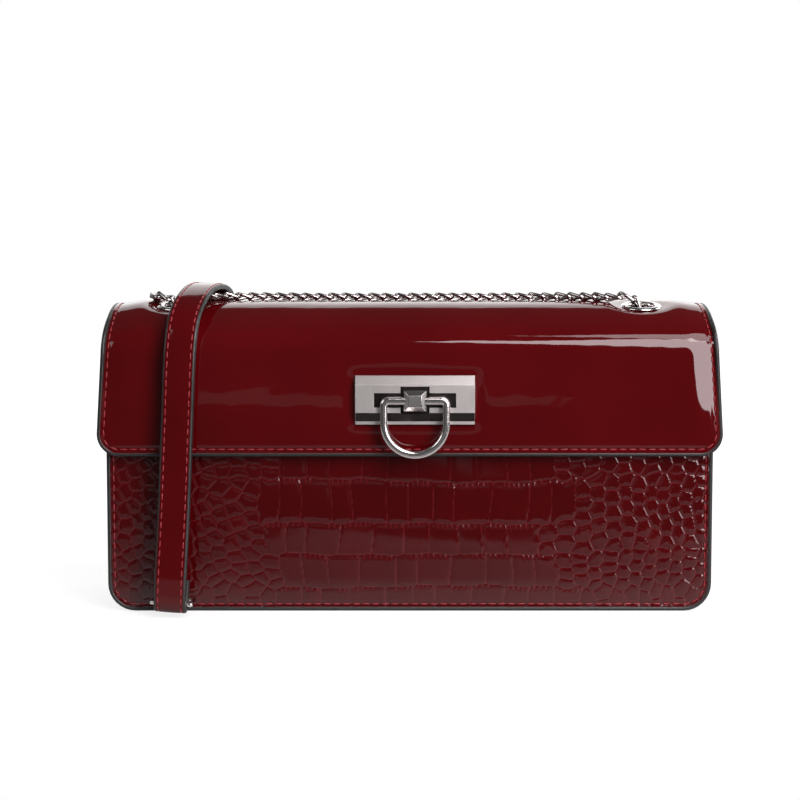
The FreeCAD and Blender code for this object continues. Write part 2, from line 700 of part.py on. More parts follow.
STRAP = [
    (14.5, 134.1), (23.3, 131.8), (24.5, 136.8), (14.5, 139.4), (3.5, 140.5), (-8.0, 140.1),
    (-20.0, 137.5), (-31.0, 133.4), (-39.5, 126.6), (-43.6, 116.5), (-44.4, 103.0), (-44.2, 88.0),
    (-44.5, 72.0), (-44.6, 56.0), (-45.2, 41.0), (-46.4, 27.0), (-47.3, 14.5), (-47.2, 3.3),
    (-42.1, 3.3), (-41.9, 16.0),
]
STRAP_STAND = FreeCAD.Placement(V(-95.9, 0, 0), FreeCAD.Rotation(V(0, 1, 0), 2.4))
STRAP_PLACE = STRAP_STAND.multiply(FreeCAD.Placement(V(), FreeCAD.Rotation(V(0, 0, 1), -8)))
UPPER_BAR = V(0, 21.4, 134.85)
LOWER_BAR = V(0, -44.65, 5.85)
UPPER_RING_SLOPE = -30
LOWER_RING_SLOPE = 8


def rounded(points, name):
    """Straight runs joined by tangent arcs, each as large as its two runs allow."""
    points = [V(*point) for point in points]
    edges, radii = [], []
    here = points[0]
    for before, corner, after in zip(points, points[1:], points[2:]):
        back, ahead = before - corner, after - corner
        reach = 0.45 * min(back.Length, ahead.Length)
        half_turn = (math.pi - back.getAngle(ahead)) / 2
        radius = reach / math.tan(half_turn)
        start, stop = corner + back.normalize() * reach, corner + ahead.normalize() * reach
        inward = (back + ahead).normalize()
        middle = corner + inward * (radius / math.cos(half_turn) - radius)
        edges += [Part.LineSegment(here, start).toShape(), Part.Arc(start, middle, stop).toShape()]
        radii.append(round(radius, 1))
        here = stop
    edges.append(Part.LineSegment(here, points[-1]).toShape())
    wire = Part.Wire(edges)
    print(f"{name}: length {wire.Length:.1f}, radii {radii}")
    return wire


def swept(name, path, section):
    """A closed solid along a path, with its volume compared with section times length."""
    solid = path.makePipeShell([section], True, False)
    area = Part.Face(section).Area
    share = solid.Volume / (area * path.Length)
    print(f"{name}: volume is {share:.4f} of section times length")
    if not 0.97 < share < 1.03:
        raise ValueError(f"{name}: the tube did not follow its path")
    feature = DOC.addObject("Part::Feature", name)
    feature.Shape = solid
    return node(name, feature)


def chain_run(name, points):
    path = rounded(points, name)
    along = V(*points[1]) - V(*points[0])
    section = Part.Wire(Part.makeCircle(number("chain_across / 2"), V(*points[0]), along))
    swept(name, path, section)


def strap():
    path = rounded([(0, back, up) for back, up in STRAP], "strap_leather")
    start = V(0, *STRAP[0])
    along = (V(0, *STRAP[1]) - start).normalize()
    over = along.cross(V(1, 0, 0)) * number("strap_thick / 2")
    out = V(number("strap_width / 2"), 0, 0)
    corners = [start - out - over, start + out - over, start + out + over, start - out + over]
    feature = swept("strap_leather", path, Part.makePolygon([*corners, corners[0]]))
    feature.Placement = STRAP_PLACE


def strap_ring(name, bar, slope):
    """Four-sided wire ring. One bar runs through the strap's fold, the other takes the chain."""
    half = "(strap_width / 2 + ring_slack + ring_wire / 2)"
    wire, zero = "ring_wire / 2", "0 * ring_wire"
    pieces = []
    for word, back in (("near", zero), ("far", "ring_reach")):
        pieces.append(rod(f"{name}_{word}", wire, f"2 * {half}", (f"-{half}", back, zero), "right"))
        pieces += [ball(f"{name}_{word}_{corner}", wire, (across, back, zero))
                   for corner, across in (("left", f"-{half}"), ("right", half))]
    pieces += [rod(f"{name}_{side}", wire, "ring_reach", (across, zero, zero), "back")
               for side, across in (("left", f"-{half}"), ("right", half))]
    ring = node(name, joined(name, pieces))
    tilt = FreeCAD.Placement(bar, FreeCAD.Rotation(V(1, 0, 0), slope))
    ring.Placement = STRAP_PLACE.multiply(tilt)


# ---------------------------------------------------------------- build, check, write
def check_everything():
    faults = [f"{thing.Label}: {thing.State}" for thing in DOC.Objects
              if "Invalid" in thing.State or "Error" in thing.State]
    faults += [f"{thing.Label}: no valid shape" for thing in NODES
               if thing.Shape.isNull() or not thing.Shape.isValid() or not thing.Shape.Solids]
    if faults:
        raise ValueError("; ".join(faults))


def main():
    body_panels()
    gusset()
    inside_pieces()
    flap()
    lock_plate()
    lock_stud()
    lock_backing()
    d_ring()
    eyelets()
    chain_run("chain_right_run", CHAIN_RIGHT)
    chain_run("chain_left_run", CHAIN_LEFT)
    chain_run("chain_inner_run", CHAIN_INNER)
    strap()
    strap_ring("strap_ring_upper", UPPER_BAR, UPPER_RING_SLOPE)
    strap_ring("strap_ring_lower", LOWER_BAR, LOWER_RING_SLOPE)
    DOC.recompute()
    check_everything()
    os.makedirs("parts", exist_ok=True)
    for thing in NODES:
        thing.Shape.exportStep(f"parts/{thing.Label}.step")
    print(f"fold axis at y {number('fold_back'):.3f}, z {number('hinge_z'):.3f}")
    print(f"ring axis at x {number('lock_offset'):.3f}, y {number('-ring_plane'):.3f}, z {number('lock_height'):.3f}")


main()
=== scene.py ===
"""Looks of a clutch purse: patent flap, embossed front, drop-ring lock, chain and leather strap.

Metres. -Y is the front, +Z is up and +X the right hand of someone who faces the front.
"""
import json
import math

import bmesh
import bpy
import numpy as np
from mathutils import Matrix, Vector


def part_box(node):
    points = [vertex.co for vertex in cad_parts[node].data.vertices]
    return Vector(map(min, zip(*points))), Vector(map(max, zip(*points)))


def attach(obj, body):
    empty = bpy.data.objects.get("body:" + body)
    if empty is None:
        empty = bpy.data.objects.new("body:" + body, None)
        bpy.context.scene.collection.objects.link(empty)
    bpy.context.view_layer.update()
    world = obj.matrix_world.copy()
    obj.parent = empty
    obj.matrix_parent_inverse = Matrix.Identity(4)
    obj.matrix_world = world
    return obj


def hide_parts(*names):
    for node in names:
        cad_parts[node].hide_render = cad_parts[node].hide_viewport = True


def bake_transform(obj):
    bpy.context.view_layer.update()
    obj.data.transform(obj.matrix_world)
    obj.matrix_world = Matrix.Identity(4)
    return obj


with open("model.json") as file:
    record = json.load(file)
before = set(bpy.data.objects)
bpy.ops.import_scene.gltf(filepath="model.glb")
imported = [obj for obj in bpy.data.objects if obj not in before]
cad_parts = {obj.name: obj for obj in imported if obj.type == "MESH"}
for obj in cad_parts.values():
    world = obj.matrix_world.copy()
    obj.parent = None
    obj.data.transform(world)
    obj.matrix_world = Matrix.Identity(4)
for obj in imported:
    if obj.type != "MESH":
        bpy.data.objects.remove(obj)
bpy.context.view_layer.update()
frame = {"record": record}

MM = 0.001

# ---------------------------------------------------------------- sizes
FLAP_LOW, FLAP_HIGH = (np.array(corner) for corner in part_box("flap_leather"))
FRONT_LOW, FRONT_HIGH = (np.array(corner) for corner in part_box("front_panel"))
BACK_LOW, BACK_HIGH = (np.array(corner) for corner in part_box("back_panel"))
PLATE_LOW, PLATE_HIGH = (np.array(corner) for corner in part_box("lock_plate"))
EYELETS = [(np.array(low) + np.array(high)) / 2
           for low, high in (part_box("eyelet_left"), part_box("eyelet_right"))]
JOINTS = {joint["name"]: joint for joint in frame["record"]["behaviour"]["joints"]}
FOLD = np.array(JOINTS["flap_hinge"]["pos_m"])

DOME_RADIUS = 60 * MM
DOME_BACK = 2 * MM
SHOULDER_RADIUS = 13 * MM
FOLD_RADIUS = 6 * MM
FLAP_CORNER = 9.6 * MM
BODY_CORNER = 12 * MM
FLAP_STACK = 3.8 * MM
LEATHER = 1.8 * MM
CREST_HALF = 131 * MM
EDGE_INSET = 1.05 * MM
SEAM_INSET = 3.2 * MM
EYELET_RIM = 9 * MM
EYELET_HOLE = 7.4 * MM
SKIN_STEP = 1.7 * MM
GUSSET_LEATHER = 1.5 * MM
CHAIN_ACROSS = 5 * MM
STRAP_WIDTH = 14 * MM
STRAP_THICK = 2.6 * MM

FRONT_Y = FLAP_LOW[1]
DOME_CENTRE = np.array([DOME_BACK, FLAP_HIGH[2] - DOME_RADIUS])
SHOULDER_Y = FRONT_Y + SHOULDER_RADIUS
SHOULDER_CENTRE = np.array([SHOULDER_Y, DOME_CENTRE[1] + math.sqrt(
    (DOME_RADIUS - SHOULDER_RADIUS) ** 2 - (DOME_BACK - SHOULDER_Y) ** 2)])
FOLD_CENTRE = np.array([FOLD[1] - FOLD_RADIUS, FOLD[2]])


def smooth(value, low, high):
    """Rises from 0 at low to 1 at high with level ends."""
    share = np.clip((np.asarray(value, float) - low) / (high - low), 0.0, 1.0)
    return share * share * (3 - 2 * share)


def bump(distance, width):
    return np.exp(-(np.asarray(distance, float) / width) ** 2)


def waves(seed, across, up, length, count=7):
    """Slow unevenness from a few seeded waves, about -1 to 1."""
    draw = np.random.default_rng(seed)
    total = np.zeros(np.broadcast(across, up).shape)
    for _ in range(count):
        turn, phase = draw.uniform(0, math.pi), draw.uniform(0, 2 * math.pi)
        reach = length * draw.uniform(0.6, 1.7)
        total += np.sin((np.cos(turn) * across + np.sin(turn) * up) * 2 * math.pi / reach + phase)
    return total / math.sqrt(count)


# ---------------------------------------------------------------- camera and light
AIM = Vector((-0.0042, FRONT_Y, 0.0925))
CAMERA_DISTANCE = 0.80
CAMERA_LIFT = math.radians(5)
LENS, SENSOR = 84.2, 36.0
SOFTBOX_TINT = (1.0, 0.93, 0.95)
ROOM_DIM = 0.075


def set_camera():
    data = bpy.data.cameras.new("camera")
    data.lens, data.sensor_width = LENS, SENSOR
    data.clip_start, data.clip_end = 0.01, 20.0
    camera = bpy.data.objects.new("camera", data)
    bpy.context.collection.objects.link(camera)
    camera.location = AIM + CAMERA_DISTANCE * Vector((0, -math.cos(CAMERA_LIFT), math.sin(CAMERA_LIFT)))
    camera.rotation_euler = (AIM - camera.location).to_track_quat("-Z", "Y").to_euler()
    bpy.context.scene.camera = camera


def area_light(name, place, target, size, power, roll=0.0, colour=(1, 1, 1)):
    data = bpy.data.lights.new(name, "AREA")
    data.color = colour
    data.shape = "RECTANGLE"
    data.size, data.size_y = size
    data.energy = power
    lamp = bpy.data.objects.new(name, data)
    bpy.context.collection.objects.link(lamp)
    lamp.location = place
    facing = (Vector(target) - Vector(place)).to_track_quat("-Z", "Y").to_matrix()
    lamp.rotation_euler = (facing @ Matrix.Rotation(roll, 3, "Z")).to_euler()
    return lamp


def set_lights():
    """Softboxes right of the front and above, a dim card low down, side fills and a wide one behind."""
    area_light("softbox_right", (0.57, -0.98, 0.60), (0.03, 0, 0.08), (0.62, 1.30), 21, math.radians(21),
               SOFTBOX_TINT)
    area_light("softbox_above", (0.52, -0.55, 1.12), (0.10, 0, 0.12), (0.62, 0.62), 5.5, 0, SOFTBOX_TINT)
    area_light("dim_card", (-0.06, -1.70, -0.01), (0, 0, 0.05), (0.52, 0.17), 0.05, math.radians(-9))
    area_light("fill_left", (-1.3, -0.9, 0.9), (0, 0, 0.08), (0.9, 0.9), 5)
    area_light("fill_right", (1.5, 0.5, 0.8), (0, 0, 0.08), (0.9, 0.9), 9)
    area_light("back_fill", (0.0, 1.6, 0.85), (0, 0, 0.10), (3.0, 1.1), 11)


def set_world():
    """White to look at or through; for lighting and mirrors a dim room that is white low down behind."""
    world = bpy.data.worlds.new("studio")
    bpy.context.scene.world = world
    world.use_nodes = True
    tree = world.node_tree
    tree.nodes.clear()
    join = tree.links.new
    seen = node(tree, "ShaderNodeBackground")
    seen.inputs["Color"].default_value = (1, 1, 1, 1)
    room = node(tree, "ShaderNodeBackground")
    split = node(tree, "ShaderNodeSeparateXYZ")
    join(node(tree, "ShaderNodeTexCoord").outputs["Generated"], split.inputs[0])
    join(remap(tree, split.outputs["Y"], 0.70, 1.0, ROOM_DIM, 1.0), room.inputs["Strength"])
    path = node(tree, "ShaderNodeLightPath")
    mix = node(tree, "ShaderNodeMixShader")
    join(math_of(tree, "MAXIMUM", path.outputs["Is Camera Ray"], path.outputs["Is Transmission Ray"]),
         mix.inputs[0])
    join(room.outputs[0], mix.inputs[1])
    join(seen.outputs[0], mix.inputs[2])
    join(mix.outputs[0], node(tree, "ShaderNodeOutputWorld").inputs[0])


# ---------------------------------------------------------------- shader nodes
def node(tree, kind, **values):
    """A node with its properties set."""
    made = tree.nodes.new(kind)
    for word, value in values.items():
        setattr(made, word, value)
    return made


def feed(tree, target, value):
    """Joins an output to an input, or sets the input's own value."""
    if hasattr(value, "is_output"):
        tree.links.new(value, target)
    elif value is not None:
        target.default_value = value


def math_of(tree, operation, *values):
    made = node(tree, "ShaderNodeMath", operation=operation)
    for index, value in enumerate(values):
        feed(tree, made.inputs[index], value)
    return made.outputs[0]


def noise_of(tree, place, scale, detail=2.0, roughness=0.5):
    made = node(tree, "ShaderNodeTexNoise")
    feed(tree, made.inputs["Vector"], place)
    feed(tree, made.inputs["Scale"], scale)
    feed(tree, made.inputs["Detail"], detail)
    feed(tree, made.inputs["Roughness"], roughness)
    return made.outputs["Fac"]


def remap(tree, value, low, high, out_low, out_high):
    made = node(tree, "ShaderNodeMapRange", clamp=True)
    for index, number in enumerate((value, low, high, out_low, out_high)):
        feed(tree, made.inputs[index], number)
    return made.outputs[0]


def blend_colour(tree, share, first, second):
    made = node(tree, "ShaderNodeMix", data_type="RGBA")
    feed(tree, made.inputs[0], share)
    feed(tree, made.inputs[6], first)
    feed(tree, made.inputs[7], second)
    return made.outputs[2]


def new_group(name, inputs, outputs):
    """An empty shader group; inputs and outputs are (name, socket, default)."""
    group = bpy.data.node_groups.new(name, "ShaderNodeTree")
    for word, socket, default in inputs:
        made = group.interface.new_socket(word, in_out="INPUT", socket_type=socket)
        if default is not None:
            made.default_value = default
    for word, socket in outputs:
        group.interface.new_socket(word, in_out="OUTPUT", socket_type=socket)
    return group, group.nodes.new("NodeGroupInput"), group.nodes.new("NodeGroupOutput")


def leather_group():
    """Fine pores and slow creases of a skin: colour share, roughness and height."""
    group, given, out = new_group(
        "leather_surface",
        [("Place", "NodeSocketVector", None), ("Pore Size", "NodeSocketFloat", 900.0),
         ("Pore Depth", "NodeSocketFloat", 0.3), ("Crease Size", "NodeSocketFloat", 30.0),
         ("Base Roughness", "NodeSocketFloat", 0.2)],
        [("Shade", "NodeSocketFloat"), ("Roughness", "NodeSocketFloat"), ("Height", "NodeSocketFloat")])
    pores = noise_of(group, given.outputs["Place"], given.outputs["Pore Size"], 3.0)
    creases = noise_of(group, given.outputs["Place"], given.outputs["Crease Size"], 2.0)
    shade = remap(group, creases, 0.3, 0.7, 0.0, 1.0)
    unevenness = remap(group, pores, 0.2, 0.8, 0.85, 1.2)
    rough = math_of(group, "MULTIPLY", given.outputs["Base Roughness"], unevenness)
    deep = math_of(group, "MULTIPLY", pores, given.outputs["Pore Depth"])
    group.links.new(shade, out.inputs["Shade"])
    group.links.new(rough, out.inputs["Roughness"])
    height = math_of(group, "ADD", deep, math_of(group, "MULTIPLY", creases, 1.5))
    group.links.new(height, out.inputs["Height"])
    return group


def marks_group():
    """Rubbed unevenness for metal and paint: roughness and height."""
    group, given, out = new_group(
        "rubbed_surface",
        [("Place", "NodeSocketVector", None), ("Mark Size", "NodeSocketFloat", 400.0),
         ("Smoothest", "NodeSocketFloat", 0.08), ("Roughest", "NodeSocketFloat", 0.25)],
        [("Roughness", "NodeSocketFloat"), ("Height", "NodeSocketFloat")])
    clouds = noise_of(group, given.outputs["Place"], given.outputs["Mark Size"], 4.0, 0.6)
    stretch = node(group, "ShaderNodeMapping")
    stretch.inputs["Scale"].default_value = (9.0, 1.0, 1.0)
    group.links.new(given.outputs["Place"], stretch.inputs["Vector"])
    hairs = noise_of(group, stretch.outputs[0], given.outputs["Mark Size"], 2.0)
    both = math_of(group, "MULTIPLY", clouds, hairs)
    rough = remap(group, both, 0.12, 0.42, given.outputs["Smoothest"], given.outputs["Roughest"])
    group.links.new(rough, out.inputs["Roughness"])
    group.links.new(hairs, out.inputs["Height"])
    return group


def weave_group():
    """Crossing threads of a plain cloth: shade and height."""
    group, given, out = new_group(
        "plain_weave",
        [("Place", "NodeSocketVector", None), ("Threads", "NodeSocketFloat", 2600.0)],
        [("Shade", "NodeSocketFloat"), ("Height", "NodeSocketFloat")])
    split = node(group, "ShaderNodeSeparateXYZ")
    group.links.new(given.outputs["Place"], split.inputs[0])

    def ribs(value):
        return math_of(group, "SINE", math_of(group, "MULTIPLY", value, given.outputs["Threads"]))
    run = math_of(group, "ADD", split.outputs["X"], split.outputs["Y"])
    both = math_of(group, "MULTIPLY", ribs(run), ribs(split.outputs["Z"]))
    height = remap(group, both, -1.0, 1.0, 0.0, 1.0)
    group.links.new(height, out.inputs["Height"])
    group.links.new(height, out.inputs["Shade"])
    return group


GROUPS = {"leather": leather_group(), "marks": marks_group(), "weave": weave_group()}


def placed_group(tree, word, **values):
    """One of the shared groups, reading object coordinates."""
    place = node(tree, "ShaderNodeTexCoord").outputs["Object"]
    made = node(tree, "ShaderNodeGroup", node_tree=GROUPS[word])
    tree.links.new(place, made.inputs["Place"])
    for name, value in values.items():
        feed(tree, made.inputs[name.replace("_", " ").title()], value)
    return made


def new_material(name):
    material = bpy.data.materials.new(name)
    material.use_nodes = True
    tree = material.node_tree
    return material, tree, tree.nodes["Principled BSDF"]


def bumped(tree, shader, height, strength, distance):
    made = node(tree, "ShaderNodeBump")
    made.inputs["Strength"].default_value = strength
    made.inputs["Distance"].default_value = distance
    tree.links.new(height, made.inputs["Height"])
    tree.links.new(made.outputs[0], shader.inputs["Normal"])


WINE_DEEP = (0.050, 0.0008, 0.0015, 1)
WINE_DARK = (0.066, 0.0010, 0.0019, 1)
WINE = (0.080, 0.0014, 0.0025, 1)


def patent_leather():
    """Lacquered skin: dark wine red under a clear hard coat."""
    material, tree, shader = new_material("patent_leather")
    skin = placed_group(tree, "leather", pore_size=420.0, pore_depth=0.25, crease_size=22.0,
                        base_roughness=0.5)
    tree.links.new(blend_colour(tree, skin.outputs["Shade"], WINE_DARK, WINE), shader.inputs["Base Color"])
    tree.links.new(skin.outputs["Roughness"], shader.inputs["Roughness"])
    shader.inputs["Coat Weight"].default_value = 1.0
    shader.inputs["Coat Roughness"].default_value = 0.042
    shader.inputs["Specular IOR Level"].default_value = 0.0
    bumped(tree, shader, skin.outputs["Height"], 0.16, 0.0006)
    return material


def embossed_leather():
    """Lacquered skin whose grooves are coloured paler, a painted highlight for the glints on the groove
    walls; the scale attribute is 0 in a groove, 1 on a scale.
    """
    material, tree, shader = new_material("embossed_leather")
    skin = placed_group(tree, "leather", pore_size=900.0, pore_depth=0.1, crease_size=60.0,
                        base_roughness=0.5)
    mask = node(tree, "ShaderNodeAttribute", attribute_name="scale").outputs["Fac"]
    tint = node(tree, "ShaderNodeAttribute", attribute_name="tint").outputs["Fac"]
    plain = blend_colour(tree, math_of(tree, "MULTIPLY", tint, skin.outputs["Shade"]), WINE_DEEP, WINE_DARK)
    # The pale groove colour is a painted highlight standing in for the glints of the groove walls.
    tree.links.new(blend_colour(tree, mask, (0.105, 0.008, 0.012, 1), plain), shader.inputs["Base Color"])
    tree.links.new(skin.outputs["Roughness"], shader.inputs["Roughness"])
    shader.inputs["Coat Weight"].default_value = 1.0
    shader.inputs["Coat Roughness"].default_value = 0.06
    shader.inputs["Specular IOR Level"].default_value = 0.0
    bumped(tree, shader, skin.outputs["Height"], 0.15, 0.0004)
    return material


def strap_leather_finish():
    material, tree, shader = new_material("strap_leather")
    skin = placed_group(tree, "leather", pore_size=800.0, pore_depth=0.15, crease_size=40.0,
                        base_roughness=0.3)
    tree.links.new(blend_colour(tree, skin.outputs["Shade"], WINE_DARK, WINE), shader.inputs["Base Color"])
    tree.links.new(skin.outputs["Roughness"], shader.inputs["Roughness"])
    shader.inputs["Coat Weight"].default_value = 0.9
    shader.inputs["Coat Roughness"].default_value = 0.08
    shader.inputs["Specular IOR Level"].default_value = 0.0
    bumped(tree, shader, skin.outputs["Height"], 0.2, 0.0004)
    return material


def edge_paint():
    """Thick black edge dye, slightly uneven."""
    material, tree, shader = new_material("edge_paint")
    marks = placed_group(tree, "marks", mark_size=260.0, smoothest=0.34, roughest=0.5)
    black = blend_colour(tree, marks.outputs["Height"], (0.011, 0.010, 0.010, 1), (0.022, 0.020, 0.019, 1))
    tree.links.new(black, shader.inputs["Base Color"])
    tree.links.new(marks.outputs["Roughness"], shader.inputs["Roughness"])
    bumped(tree, shader, marks.outputs["Height"], 0.25, 0.0003)
    return material


def thread():
    """Twisted bright red thread."""
    material, tree, shader = new_material("red_thread")
    twist = node(tree, "ShaderNodeTexWave", wave_type="BANDS", bands_direction="DIAGONAL")
    twist.inputs["Scale"].default_value = 900.0
    tree.links.new(node(tree, "ShaderNodeTexCoord").outputs["Object"], twist.inputs["Vector"])
    tree.links.new(blend_colour(tree, twist.outputs["Fac"], (0.19, 0.003, 0.008, 1), (0.33, 0.007, 0.016, 1)),
                   shader.inputs["Base Color"])
    shader.inputs["Roughness"].default_value = 0.38
    shader.inputs["Sheen Weight"].default_value = 0.1
    bumped(tree, shader, twist.outputs["Fac"], 0.5, 0.0001)
    return material


def nickel(name, colour, smoothest, roughest):
    """A metal of one colour, a little duller in its fine marks."""
    material, tree, shader = new_material(name)
    marks = placed_group(tree, "marks", mark_size=140.0, smoothest=smoothest, roughest=roughest)
    dull = tuple(0.94 * part for part in colour)
    metal = blend_colour(tree, marks.outputs["Height"], (*dull, 1), (*colour, 1))
    tree.links.new(metal, shader.inputs["Base Color"])
    tree.links.new(marks.outputs["Roughness"], shader.inputs["Roughness"])
    shader.inputs["Metallic"].default_value = 1.0
    bumped(tree, shader, marks.outputs["Height"], 0.01, 0.0001)
    return material


def lining_cloth():
    material, tree, shader = new_material("lining_cloth")
    weave = placed_group(tree, "weave", threads=2600.0)
    cloth = blend_colour(tree, weave.outputs["Shade"], (0.035, 0.004, 0.006, 1), (0.085, 0.010, 0.014, 1))
    tree.links.new(cloth, shader.inputs["Base Color"])
    shader.inputs["Roughness"].default_value = 0.62
    shader.inputs["Sheen Weight"].default_value = 0.35
    bumped(tree, shader, weave.outputs["Height"], 0.4, 0.0002)
    return material


def board_stock():
    material, tree, shader = new_material("board_stock")
    skin = placed_group(tree, "leather", pore_size=500.0, pore_depth=0.5, crease_size=60.0,
                        base_roughness=0.85)
    tree.links.new(blend_colour(tree, skin.outputs["Shade"], (0.16, 0.12, 0.08, 1), (0.22, 0.17, 0.12, 1)),
                   shader.inputs["Base Color"])
    tree.links.new(skin.outputs["Roughness"], shader.inputs["Roughness"])
    bumped(tree, shader, skin.outputs["Height"], 0.3, 0.0002)
    return material


FINISH = {
    "patent": patent_leather(),
    "embossed": embossed_leather(),
    "strap": strap_leather_finish(),
    "edge": edge_paint(),
    "thread": thread(),
    "nickel": nickel("polished_nickel", (0.80, 0.77, 0.755), 0.165, 0.185),
    "satin": nickel("satin_nickel", (0.80, 0.775, 0.755), 0.37, 0.41),
    # Darker metal for the plate's upward faces: painted shade, standing in for the dark room they mirror.
    "facet": nickel("bevel_nickel_painted_shade", (0.40, 0.385, 0.375), 0.30, 0.33),
    "recess": nickel("dark_recess_floor", (0.045, 0.040, 0.038), 0.25, 0.4),
    "chain": nickel("chain_nickel", (0.62, 0.59, 0.58), 0.14, 0.26),
    "steel": nickel("plain_steel", (0.45, 0.45, 0.46), 0.28, 0.45),
    "magnet": nickel("magnet_plating", (0.42, 0.42, 0.44), 0.2, 0.35),
    "lining": lining_cloth(),
    "board": board_stock(),
}


# ---------------------------------------------------------------- mesh helpers
def mesh_piece(name, points, faces, finishes, face_finish=None, smooth_faces=True):
    """An object at the origin; face_finish gives each face's place in finishes."""
    mesh = bpy.data.meshes.new(name)
    mesh.from_pydata([tuple(map(float, point)) for point in points], [],
                     [tuple(map(int, face)) for face in faces])
    for word in finishes:
        mesh.materials.append(FINISH[word])
    if face_finish is not None:
        mesh.polygons.foreach_set("material_index", np.asarray(face_finish, np.int32))
    mesh.polygons.foreach_set("use_smooth", [smooth_faces] * len(mesh.polygons))
    mesh.update()
    piece = bpy.data.objects.new(name, mesh)
    bpy.context.collection.objects.link(piece)
    return piece


def grid_faces(rows, columns, start=0, around=False, closed=False):
    """Quads between neighbouring rows; around joins a row's ends, closed joins the last row to the first."""
    faces = []
    for row in range(rows if closed else rows - 1):
        after = (row + 1) % rows
        for column in range(columns if around else columns - 1):
            side = (column + 1) % columns
            faces.append((start + row * columns + column, start + row * columns + side,
                          start + after * columns + side, start + after * columns + column))
    return faces


def directions(path, closed=False):
    path = np.asarray(path, float)
    if closed:
        along = np.roll(path, -1, axis=0) - np.roll(path, 1, axis=0)
    else:
        along = np.gradient(path, axis=0)
    return along / np.linalg.norm(along, axis=1)[:, None]


def swept_piece(name, path, outward, section, finishes, closed=False, side_finish=None):
    """A section of (side, outward) offsets along a path. Open ends are capped."""
    path, outward, section = (np.asarray(part, float) for part in (path, outward, section))
    along = directions(path, closed)
    side = np.cross(along, outward)
    side /= np.linalg.norm(side, axis=1)[:, None]
    upright = np.cross(side, along)
    rings = (path[:, None, :] + side[:, None, :] * section[None, :, :1]
             + upright[:, None, :] * section[None, :, 1:])
    count, corners = len(path), len(section)
    faces = grid_faces(count, corners, around=True, closed=closed)
    marks = [0 if side_finish is None else side_finish[index % corners] for index in range(len(faces))]
    if not closed:
        faces += [tuple(range(corners))[::-1],
                  tuple((count - 1) * corners + index for index in range(corners))]
        marks += [marks[0], marks[0]]
    piece = mesh_piece(name, rings.reshape(-1, 3), faces, finishes, marks)
    face_outwards(piece)
    return crisp(piece)


def face_outwards(piece):
    work = bmesh.new()
    work.from_mesh(piece.data)
    bmesh.ops.recalc_face_normals(work, faces=work.faces)
    work.to_mesh(piece.data)
    work.free()


def baked(piece):
    """The piece with its modifiers made plain mesh."""
    bpy.context.view_layer.update()
    shape = piece.evaluated_get(bpy.context.evaluated_depsgraph_get())
    mesh = bpy.data.meshes.new_from_object(shape, preserve_all_data_layers=True,
                                           depsgraph=bpy.context.evaluated_depsgraph_get())
    piece.modifiers.clear()
    piece.data = mesh
    return piece


def crisp(piece, degrees=55):
    """Keeps the shading of a piece's faces apart where they meet at a corner."""
    piece.data.set_sharp_from_angle(angle=math.radians(degrees))
    return piece


def thickened(piece, thick):
    """Gives an open sheet a wall on its inner side."""
    wall = piece.modifiers.new("wall", "SOLIDIFY")
    wall.thickness, wall.offset = thick, -1.0
    return crisp(baked(piece))


def smooth_route(name, points):
    """Points along the smooth line that a route's points control."""
    data = bpy.data.curves.new(name, "CURVE")
    data.dimensions = "3D"
    data.resolution_u = 14
    spline = data.splines.new("NURBS")
    spline.points.add(len(points) - 1)
    for knot, point in zip(spline.points, points):
        knot.co = (*point, 1.0)
    spline.order_u = 3
    spline.use_endpoint_u = True
    line = bpy.data.objects.new(name, data)
    mesh = bpy.data.meshes.new_from_object(line)
    path = np.array([vertex.co[:] for vertex in mesh.vertices])
    bpy.data.objects.remove(line)
    keep = np.concatenate([[True], np.linalg.norm(np.diff(path, axis=0), axis=1) > 1e-7])
    return path[keep]


def spaced(path, pitch, closed=False, start=0.5):
    """Places along a path at an even pitch near the one given, starting part of a pitch in."""
    line = np.vstack([path, path[:1]]) if closed else np.asarray(path, float)
    reach = np.concatenate([[0], np.cumsum(np.linalg.norm(np.diff(line, axis=0), axis=1))])
    count = max(2, int(round(reach[-1] / pitch)))
    wanted = (np.arange(count) + start) * reach[-1] / count
    places = np.stack([np.interp(wanted, reach, line[:, axis]) for axis in range(3)], axis=1)
    return places, wanted / reach[-1]


def carried_frame(path, first):
    """Outward directions carried along a path without spinning about it."""
    along = directions(path)
    outward = [np.asarray(first, float)]
    for way in along:
        last = outward[-1] - way * np.dot(outward[-1], way)
        outward.append(last / np.linalg.norm(last))
    return np.array(outward[1:])


# ---------------------------------------------------------------- geometry node trees
def geometry_tree(name, inputs):
    tree = bpy.data.node_groups.new(name, "GeometryNodeTree")
    tree.interface.new_socket("Geometry", in_out="INPUT", socket_type="NodeSocketGeometry")
    for word, socket, default in inputs:
        made = tree.interface.new_socket(word, in_out="INPUT", socket_type=socket)
        if default is not None:
            made.default_value = default
    tree.interface.new_socket("Geometry", in_out="OUTPUT", socket_type="NodeSocketGeometry")
    return tree, tree.nodes.new("NodeGroupInput"), tree.nodes.new("NodeGroupOutput")


